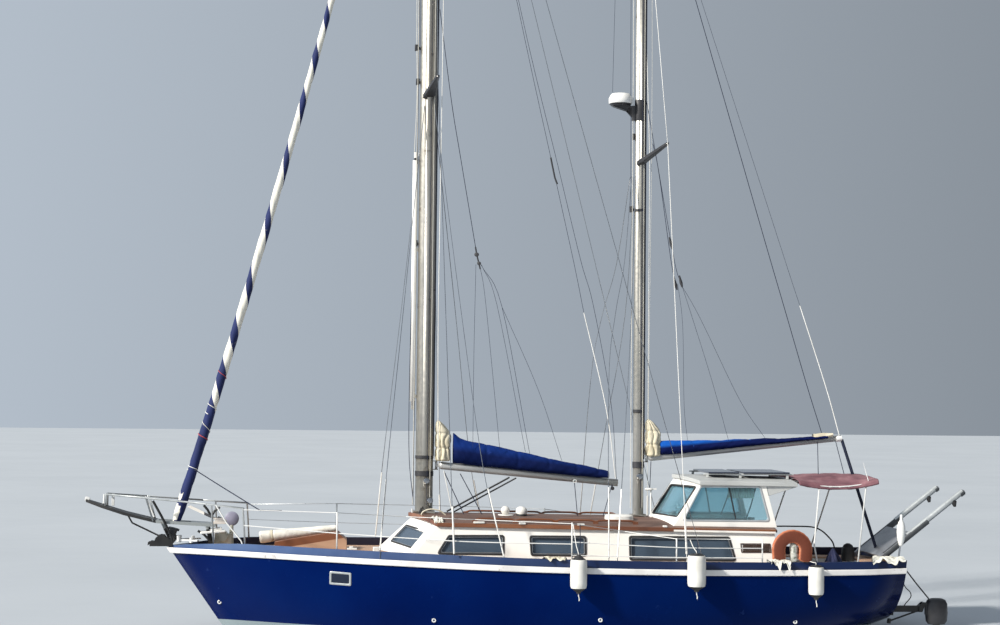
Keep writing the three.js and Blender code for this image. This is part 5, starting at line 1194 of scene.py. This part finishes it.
strap = [[0.089, -0.016], [0.0935, -0.012], [0.0935, 0.012], [0.089, 0.016]]
piece("awning_strap", spun(strap, (-4.07, 0, 1.448), axis=(0.992, 0, 0.125), sides=32), cream_cloth)
cleat = (block((-2.895, -0.33, 1.255), (-2.74, -0.28, 1.285)),
         block((-2.86, -0.32, 1.285), (-2.80, -0.29, 1.31)))
piece("deck_cleats", together(*cleat), rail_white, round_by=0.006)

# Mast foot: a hoop of pale line, small dark leads and a short white post on the roof round the main mast's
# foot, and a white chock where the cabin's nose meets the deck.
hoop = [(-1.75, -0.35, 1.80), (-1.71, -0.36, 1.86), (-1.60, -0.36, 1.895), (-1.47, -0.35, 1.875),
        (-1.38, -0.34, 1.82), (-1.36, -0.34, 1.79)]
piece("mast_hoop", tube(smooth_line(hoop), 0.011), cream_cloth)
leads = [tube([[-1.78 - 0.03 * k, 0.09 * k - 0.22, 1.775], [-1.75 - 0.012 * k, 0.09 * k - 0.22, 1.84],
               [-1.71, 0.04 * k - 0.08, 1.92 + 0.03 * k]], 0.009) for k in range(5)]
piece("mast_leads", together(*leads), black_rubber)
piece("mast_post", tube([[-1.875, -0.05, 1.77], [-1.875, -0.05, 1.83], [-1.875, -0.05, 1.885]], 0.011),
      rail_white)
piece("nose_chock", block((-2.50, -0.66, 1.225), (-2.40, -0.52, 1.325)), rail_white,
      round_by=0.012)


# Fenders, three inflated white cylinders with black ends, hung over the side on thin lines from the guard
# rail. The horseshoe buoy beside them is foam in faded red cloth, in a steel bracket, with a pale lamp.
white_vinyl = finish("white_vinyl", [(0.68, 0.66, 0.60), (0.80, 0.79, 0.75)], size=0.2, rough=(0.35, 0.5))
over(white_vinyl, spots(white_vinyl, 0.09, 0.66, 0.08), (0.45, 0.40, 0.33), gloss=0.6)
FENDERS = [(0.522, -1.939, 0.752, 1.330, 0.125, -1.715, 1.765),
           (2.312, -1.898, 0.775, 1.350, 0.138, -1.68, 1.535),
           (4.205, -1.680, 0.630, 1.160, 0.118, -1.53, 1.20)]
for k, (x, y, foot, head, r, rail_y, rail_z) in enumerate(FENDERS):
    low, high = foot + 0.085, head - (0.075 if k == 0 else 0.035)
    body = [[0.62 * r, low - 0.015], [0.9 * r, low], [0.985 * r, low + 0.035], [r, low + 0.09],
            [r, high - 0.07], [0.985 * r, high - 0.02], [0.9 * r, high + 0.004], [0.6 * r, high + 0.012]]
    fender = piece(f"fender_body_{k + 1}", spun(body, (x, y, 0), sides=40), white_vinyl)
    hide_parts(f"fender_{k + 1}")
    tip = [[0.001, foot + 0.002], [0.24 * r, foot + 0.004], [0.3 * r, foot + 0.03], [0.62 * r, low - 0.03],
           [0.88 * r, low - 0.002], [0.8 * r, low + 0.004]]
    cap = [[0.8 * r, high - 0.002], [0.87 * r, high + 0.004], [0.6 * r, high + 0.03],
           [0.28 * r, head - 0.012], [0.22 * r, head + 0.002], [0.001, head + 0.004]]
    piece(f"fender_ends_{k + 1}", together(spun(tip, (x, y, 0), sides=32), spun(cap, (x, y, 0), sides=32)),
          black_rubber)
    for n, lean in enumerate((-0.035, 0.03)):
        top = np.array([x + 1.6 * lean, rail_y, rail_z])
        route = smooth_line([(x, y, head - 0.004), (x + 0.2 * lean, y + 0.004, head + 0.03),
                             (x + lean, (2 * y + rail_y) / 3, (2 * head + rail_z) / 3 + 0.02), top], 6)
        line = piece(f"fender_line_{k + 1}_{n + 1}", tube(route, 0.006, sides=6),
                     dark_rope if n else white_paint)
    tail = smooth_line([(x, y, foot + 0.01), (x + 0.002, y, foot - 0.03), (x + 0.012, y, foot - 0.07),
                        (x + 0.01, y - 0.004, foot - 0.105)], 6)
    rope = piece(f"fender_tail_{k + 1}", tube(tail, 0.007, sides=8), white_paint)

red_foam = finish("red_foam", [(0.26, 0.065, 0.025), (0.42, 0.12, 0.05), (0.55, 0.20, 0.10)], size=0.12,
                  rough=(0.6, 0.8), relief=0.001, grain=0.01)
# Painted shade: the broad face that looks out to port is painted a darker red, so that the rounded rim
# reads as lit.
over(red_foam, climbing(red_foam, place_parts(red_foam, "NewGeometry", "Normal")[1], -0.80, -0.97),
     (0.135, 0.028, 0.010))
over(red_foam, spots(red_foam, 0.05, 0.62, 0.1), (0.20, 0.09, 0.05))
buoy_x, buoy_y, buoy_z, buoy_thick = 3.878, -1.502, 1.373, 0.102
a = np.linspace(-0.9, np.pi + 0.9, 90)
bend, reach = np.clip(a, 0, np.pi), np.clip(np.abs(a - np.pi / 2) - np.pi / 2, 0, 1)
line = np.stack([buoy_x + np.cos(bend) * (0.212 - 0.012 * reach), np.full(len(a), buoy_y),
                 buoy_z + 0.205 * np.sin(bend) - 0.20 * reach], 1)
narrow = 0.045 * np.clip((reach - 0.74) / 0.16, 0, 1) ** 2
swell = buoy_thick - narrow + ripple(21, (0.0018, 23, 0), (0.0012, 51, 0))(a, 0)
buoy = piece("horseshoe", tube(line, swell, sides=24), red_foam, sharp=60)
points = np.array([v.co for v in buoy.data.vertices])
across = (points[:, 1] - buoy_y) / buoy_thick
points[:, 1] = buoy_y + 0.048 * np.sign(across) * np.abs(across) ** 0.45
buoy.data.vertices.foreach_set("co", points.ravel())
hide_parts("horseshoe_buoy")
grey_canvas = finish("grey_canvas", [(0.10, 0.11, 0.09), (0.42, 0.43, 0.38), (0.66, 0.66, 0.62)], size=0.05,
                     rough=(0.7, 0.9))
lamp = [[3.925, -1.455, 1.19], [3.922, -1.455, 1.22], [3.915, -1.455, 1.40], [3.905, -1.455, 1.50],
        [3.90, -1.455, 1.545]]
piece("horseshoe_light", tube(lamp, [0.045, 0.062, 0.062, 0.045, 0.015], sides=20), grey_canvas)
uprights = [bar([x, -1.44, 1.18], [x, -1.44, 1.50], 0.02, 0.012, up=(1, 0, 0)) for x in (3.66, 4.09)]
crossbar = bar([3.60, -1.44, 1.24], [4.15, -1.44, 1.235], 0.02, 0.03)
piece("horseshoe_bracket", together(*uprights, crossbar), stainless)


def thrown(points, across, seed):
    """Cloth laid along a route of points over something, as wide as the given vector, crumpled by waves
    that lift it square to both, with an uneven lower hem. Gives the form, and the cloth's breadth and
    length; the breadth counts 3% for the crumples."""
    rows, cols, rough = 40, 40, 0.008
    route = smooth_line(points, 10)
    t = np.linspace(0, len(route) - 1, rows)
    route = np.stack([np.interp(t, np.arange(len(route)), route[:, k]) for k in range(3)], 1)
    u = np.linspace(-0.5, 0.5, cols)
    across = np.array(across, float)
    lift = np.cross(np.gradient(route, axis=0), across)
    lift /= np.linalg.norm(lift, axis=1, keepdims=True)
    wave = ripple(seed, (rough, 9, 14), (rough * 0.6, 21, -17), (rough * 0.35, 44, 35))
    wave = wave(t[:, None] / rows, u[None])
    width = 1 + 0.12 * np.sin(5 * t / rows + seed)[:, None]
    hem = 1 - 0.22 * (0.5 + 0.5 * np.sin(11 * u + seed)) - 0.10 * (0.5 + 0.5 * np.sin(27 * u))
    row = np.arange(rows)[:, None] * hem
    route, lift = (np.stack([np.interp(row, np.arange(rows), a[:, k]) for k in range(3)], -1)
                   for a in (route, lift))
    made = route + (u[None] * width)[..., None] * across + wave[..., None] * lift
    breadth = float(np.linalg.norm(across) * width.mean() * 1.03)
    return open_form(made), (breadth, mean_length(made, 0))


# Cloths laid out to dry: two over the bulwark, one on the coaming beside the bimini, one at the mast foot.
white_cloth = finish("white_cloth", [(0.62, 0.60, 0.52), (0.78, 0.77, 0.70)], size=0.12, rough=(0.75, 0.9),
                     relief=0.0008, grain=0.006)
CLOTHS = {
    "cloth_bulwark_1": ([(3.66, -1.50, 1.12), (3.66, -1.53, 1.205), (3.66, -1.58, 1.222),
                         (3.665, -1.645, 1.19), (3.67, -1.655, 1.06)],
                        (0.34, 0.02, -0.02), 31, ["bulwark_dressed"]),
    "cloth_bulwark_2": ([(0.20, -1.60, 1.20), (0.20, -1.66, 1.265), (0.20, -1.73, 1.265),
                         (0.21, -1.80, 1.22)],
                        (0.36, 0.02, -0.015), 33, ["bulwark_dressed"]),
    "cloth_aft": ([(5.46, -1.10, 1.16), (5.46, -1.16, 1.235), (5.46, -1.24, 1.245), (5.46, -1.34, 1.195),
                   (5.46, -1.375, 1.12)],
                  (0.50, 0.06, -0.02), 35, ["bulwark_dressed"]),
    "cloth_mast_foot": ([(-1.55, -0.62, 1.80), (-1.53, -0.80, 1.79), (-1.52, -0.96, 1.775),
                         (-1.51, -1.04, 1.74), (-1.51, -1.06, 1.69)],
                        (0.14, 0.0, 0.0), 37, ["trunk_roof_dressed"]),
}
for name, (points, across, seed, under) in CLOTHS.items():
    form, flat = thrown(points, across, seed)
    cloth = piece(name, form, cream_cloth if name == "cloth_bulwark_2" else white_cloth)


# Aft deck: a bimini of faded pink cloth stretched over two hoops of tube, a louvre in the cabin's side, and
# in the cockpit a dark rail, the covered winch and a folded navy cloth.
dress("bimini_frame", rail_white, smooth_to=50)
pink_cloth = finish("pink_cloth", [(0.13, 0.052, 0.068), (0.20, 0.09, 0.105), (0.30, 0.155, 0.17)],
                    size=0.3, rough=(0.75, 0.9), relief=0.0006, grain=0.005)
bimini_x, bimini_long, bimini_half, bimini_z, sag = 4.135, 1.28, 0.972, 2.388, 0.088
s, t = np.meshgrid(np.linspace(0, 1, 90), np.linspace(-1, 1, 80), indexing="ij")
across = bimini_half * t * (1 - 0.03 * np.sin(np.pi * s) ** 2)
hollow = sag * 4 * s * (1 - s) * t ** 2 * np.clip(0.35 + np.abs(t), 0, 1)
drape = np.clip((np.abs(t) - 0.94) / 0.06, 0, 1) ** 2 * 0.065
creases = ripple(41, (0.0035, 21, 3), (0.0025, 9, 13), (0.0016, 47, -5))(s, t)
crown = (0.036 + 0.022 * np.sin(np.pi * s)) * (1 - t ** 2)
top = bimini_z + 0.024 * s + crown - hollow + creases + 0.016 - drape
points = np.stack([bimini_x + bimini_long * s, across, top], -1)
flat = (mean_length(points, 1), mean_length(points, 0))
bimini = piece("bimini_top", open_form(points), pink_cloth)
thick = bimini.modifiers.new("thick", "SOLIDIFY")
thick.thickness, thick.offset = 0.004, 0
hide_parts("bimini_cloth")
for side, hand in SIDES:
    s = np.linspace(0.01, 0.99, 30)
    out = bimini_half - 0.03 * 0.95 * np.sin(np.pi * s) ** 2
    high = bimini_z + 0.024 * s - sag * 4 * s * (1 - s) - 0.034
    edge = np.stack([bimini_x + bimini_long * s, hand * out, high], 1)
    piece(f"bimini_hem_{side}", tube(edge, np.interp(s, [0, 0.5, 1], [0.022, 0.012, 0.022])), pink_cloth)
LOUVRE = [(3.17, 1.305), (3.63, 1.305), (3.62, 1.435), (3.16, 1.435)]
vent_brown = finish("vent_brown", [(0.035, 0.020, 0.014), (0.06, 0.035, 0.025)], size=0.1, rough=(0.4, 0.6))
for side, hand in SIDES:
    slats = []
    for k in range(6):
        z = 1.32 + 0.019 * k
        y = hand * trunk_side(3.4, z)
        slats.append(bar([3.19, y + hand * 0.004, z], [3.61, y + hand * 0.008, z], 0.016, 0.006,
                         up=(0, hand * 0.7, 0.7)))
    rim = frame_ring(LOUVRE, (0.006, 0.012), (-0.008, 0.008), trunk_side, 0.010, hand)
    piece(f"louvre_{side}", together(rim, *slats), vent_brown)
rail = [(3.88, 0.45, 1.585), (4.38, 0.45, 1.59), (4.80, 0.45, 1.565), (5.03, 0.45, 1.40),
        (5.11, 0.45, 1.25), (5.11, 0.45, 1.05)]
piece("cockpit_rail", tube(smooth_line(rail), 0.012), black_paint)
hood = [[0.105, 0.0], [0.11, 0.12], [0.10, 0.20], [0.07, 0.26], [0.03, 0.285], [0.001, 0.29]]
piece("winch_hood", spun(hood, (5.22, 0.05, 1.06), sides=24), black_rubber)
navy_cloth = finish("navy_cloth", [(0.006, 0.010, 0.04), (0.014, 0.02, 0.07)], size=0.1, rough=(0.75, 0.9),
                    relief=0.001, grain=0.008)
u, v = np.meshgrid(np.linspace(0.12, 1, 30), np.linspace(0, 2 * np.pi, 60, endpoint=False), indexing="ij")
crumple = 1 + 0.16 * np.sin(5 * v + 3 * u) * u + 0.08 * np.sin(11 * v - 4 * u)
points = np.stack([4.87 + 0.13 * u * crumple * np.cos(v), -0.3 + 0.11 * u * crumple * np.sin(v),
                   1.05 + 0.27 * (1 - u) ** 0.8 + 0.02 * u], -1)
cone = piece("navy_bundle", (points.reshape(-1, 3), grid(*u.shape)[:, ::-1], NO_TRIS), navy_cloth)

# Stern: davits of bright tube in dark sleeves with dark blocks at their heads, a lamp in a white housing on
# a post, an aerial, and the outboard on its bracket with its stay and a loop of line.
davit_grey = finish("davit_grey", [(0.16, 0.17, 0.19), (0.26, 0.27, 0.29)], size=0.2, rough=(0.3, 0.45),
                    metal=0.4)
dress("davits", davit_grey, round_by=0.006)
davit_dark = finish("davit_dark", [(0.035, 0.040, 0.045), (0.06, 0.066, 0.072)], size=0.2, rough=(0.4, 0.6))


def on_davit(share, hand):
    """Place on a davit's line at a share of its length, from the deck up and aft."""
    return np.array([5.48 + 1.45 * share, hand * 0.6, 1.1 + 1.135 * share])


for (side, hand), bare_from, sleeved_to in zip(SIDES, (0.36, 0.50), (0.58, 0.56)):
    low, middle, head = (on_davit(q, hand) for q in (bare_from, (bare_from + 0.985) / 2, 0.985))
    bare = tube([p + (-0.012, 0, 0.016) for p in (low, middle, head)], 0.042, sides=16)
    piece(f"davit_tube_{side}", bare, pale_steel)
    sleeve = [on_davit(q, hand) for q in (0.10, sleeved_to / 2 + 0.05, sleeved_to)]
    piece(f"davit_sleeve_{side}", tube(sleeve, 0.052, sides=16), davit_dark)
    piece(f"davit_cap_{side}", tube([head - 0.05 * (head - low), head, head + 0.012 * (head - low)], 0.048),
          davit_dark)
    steps = (-0.01, 0, 0.05), (0.035, 0, -0.02), (0.05, 0, -0.09)
    hanging = [on_davit(0.86, hand) + step for step in steps]
    piece(f"davit_block_{side}", tube(hanging, [0.03, 0.045, 0.02]), black_rubber)
housing = [[0.001, -0.25], [0.03, -0.235], [0.055, -0.15], [0.068, -0.03], [0.064, 0.06], [0.042, 0.13],
           [0.022, 0.16], [0.021, 0.24], [0.001, 0.25]]
piece("stern_lamp", spun(housing, (5.725, -1.1, 1.645), axis=(0.02, 0, 1), sides=28), rail_white)
piece("stern_lamp_post", tube([[5.68, -1.1, 1.02], [5.69, -1.1, 1.25], [5.715, -1.1, 1.45]], 0.014),
      stainless)
piece("aerial", tube([[5.27, -0.9, 2.37], [5.26, -0.9, 2.42], [5.22, -0.9, 2.55], [5.18, -0.9, 2.69]],
      [0.008, 0.007, 0.005, 0.003], sides=8), rail_white)
dress("outboard_bracket", black_paint, round_by=0.003)
cowl_paint = finish("cowl_paint", [(0.012, 0.012, 0.014), (0.03, 0.03, 0.034)], size=0.2, rough=(0.3, 0.5),
                    coat=0.2)
dress("outboard", cowl_paint, round_by=0.012)
dress("outboard_propeller", black_paint, smooth_to=45)
piece("outboard_stay", tube([[5.86, -0.78, 1.06], [6.08, -0.79, 0.78], [6.28, -0.8, 0.54]], 0.011),
      black_paint)
loop = [(5.80, -0.84, 0.99), (5.86, -0.86, 0.76), (5.95, -0.86, 0.66), (5.96, -0.86, 0.58),
        (5.89, -0.85, 0.49), (5.86, -0.82, 0.43)]
piece("outboard_line", tube(smooth_line(loop), 0.008), black_paint)

# Hull fittings: a port light forward with a pale frame, and small white drains, all seated on the hull's
# skin where a line from the side meets it.
hull_mesh = frame["nodes"]["hull"].data
hull_tree = BVHTree.FromPolygons([v.co for v in hull_mesh.vertices],
                                 [p.vertices for p in hull_mesh.polygons])


def hull_half(x, z):
    """Half breadth of the hull's skin at each of the places."""
    hits = [hull_tree.ray_cast(Vector((a, 4, b)), Vector((0, -1, 0)))[0]
            for a, b in zip(np.ravel(x), np.ravel(z))]
    return np.array([hit.y for hit in hits]).reshape(np.shape(x))


smoked_dark = glazing("smoked_dark", (0.006, 0.012, 0.03), 0.0)
PORT_LIGHT = [(-3.155, 0.815), (-2.845, 0.800), (-2.845, 0.985), (-3.155, 1.000)]
for side, hand in SIDES:
    rim = frame_ring(PORT_LIGHT, (0.008, 0.02), (-0.022, 0.014), hull_half, 0.012, hand)
    piece(f"port_light_rim_{side}", rim, pale_steel)
    x, z = np.meshgrid(np.linspace(-3.15, -2.85, 8), np.linspace(0.81, 0.99, 8), indexing="ij")
    points = np.stack([x, hand * (hull_half(x, z) + 0.003), z], -1).reshape(-1, 3)
    quads = grid(8, 8, wrap=False)
    piece(f"port_light_{side}", (points, quads if hand < 0 else quads[:, ::-1], NO_TRIS), smoked_dark)
    for k, (x0, z0) in enumerate([(-4.86, 0.43), (-1.59, 0.30), (3.97, 0.26), (0.9, 0.33)]):
        y0 = float(hull_half(np.array([x0]), np.array([z0]))[0])
        drain = spun([[0.034, -0.02], [0.034, 0.008], [0.028, 0.014], [0.015, 0.012], [0.013, -0.01],
                      [0.001, -0.01]], (x0, hand * y0, z0), axis=(0, hand, 0), sides=20)
        piece(f"drain_{side}_{k + 1}", drain, rail_white)


# Sheets and small lines at the booms: the mizzen's sheet, thick and dark, from the boom's end down to the
# stern; the main vang, two black ropes; and short lines from the booms to the roofs and the bimini.
def tackle(name, start, end, thick, look_of):
    """Rope from the hull to a boom: a straight tube between the two, on no body."""
    start, end = np.array(start, float), np.array(end, float)
    route = start + (end - start) * np.linspace(0, 1, 14)[:, None]
    rope = piece(name, tube(route, thick, sides=8), look_of, body=None)
    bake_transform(rope)


tackle("mizzen_sheet", (5.70, -0.02, 1.17), (5.10, 0, 3.03), 0.026, dark_rope)
tackle("vang_1", (-1.33, -0.10, 1.845), (-0.33, -0.03, 2.385), 0.014, black_rubber)
tackle("vang_2", (-1.28, -0.06, 1.80), (-0.22, -0.01, 2.375), 0.012, black_rubber)
tackle("reef_line_1", (-1.06, -0.14, 1.80), (-1.38, -0.06, 2.48), 0.007, dark_rope)
tackle("reef_line_2", (-0.77, -0.14, 1.80), (-1.12, -0.06, 2.44), 0.007, dark_rope)
tackle("gooseneck_line", (-1.24, -0.13, 1.82), (-1.385, -0.10, 2.49), 0.007, white_paint)
tackle("main_sheet", (0.76, -0.1, 1.775), (0.715, -0.03, 2.31), 0.006, dark_rope)
tackle("main_guy", (1.17, -0.1, 1.775), (1.32, -0.03, 2.27), 0.006, dark_rope)
tackle("mizzen_downhaul", (1.935, -0.03, 2.19), (1.955, -0.02, 2.66), 0.006, dark_rope)
tackle("mizzen_line_1", (4.655, -0.2, 2.44), (4.69, -0.03, 2.99), 0.006, dark_rope)
tackle("mizzen_line_2", (5.09, -0.2, 2.44), (4.99, -0.03, 3.0), 0.006, dark_rope)
ring = [[0.018, -0.012], [0.03, -0.012], [0.03, 0.012], [0.018, 0.012], [0.018, -0.012]]
piece("main_boom_ring", spun(ring, (0.715, -0.06, 2.335), axis=(0, 1, 0)), rail_white, body="main_boom")
wheel = spun([[0, -0.02], [0.03, -0.018], [0.03, 0.018], [0, 0.02]], (1.33, -0.03, 2.22), axis=(0, 1, 0))
loop = tube([[1.33, -0.03, 2.24], [1.33, -0.02, 2.28], [1.33, -0.01, 2.32]], 0.008)
piece("main_boom_block", together(wheel, loop), radar_dark, body="main_boom")

# The clew of the mizzen rolled out of its cover's end, and the boom's white end cap.
s, a = np.meshgrid(np.linspace(0, 1, 50), np.linspace(0.1, 2 * np.pi - 0.1, 48), indexing="ij")
radius = (0.052 - 0.018 * s) * (1 + 0.12 * np.sin(4 * a + 3 * s)) + 0.004 * np.sin(9 * s + 2 * a)
points = np.stack([4.62 + 0.33 * s, radius * np.cos(a), 3.065 + 0.035 * s + radius * np.sin(a)], -1)
clew = piece("mizzen_clew", (points.reshape(-1, 3), grid(*s.shape, wrap=False)[:, ::-1], NO_TRIS),
             sail_cloth, body="mizzen_boom")
piece("mizzen_boom_cap", spun([[0.001, -0.05], [0.045, -0.04], [0.052, 0.0], [0.046, 0.05], [0.001, 0.055]],
                              (5.045, 0, 3.045), axis=(0.99, 0, 0.11)), rail_white, body="mizzen_boom")
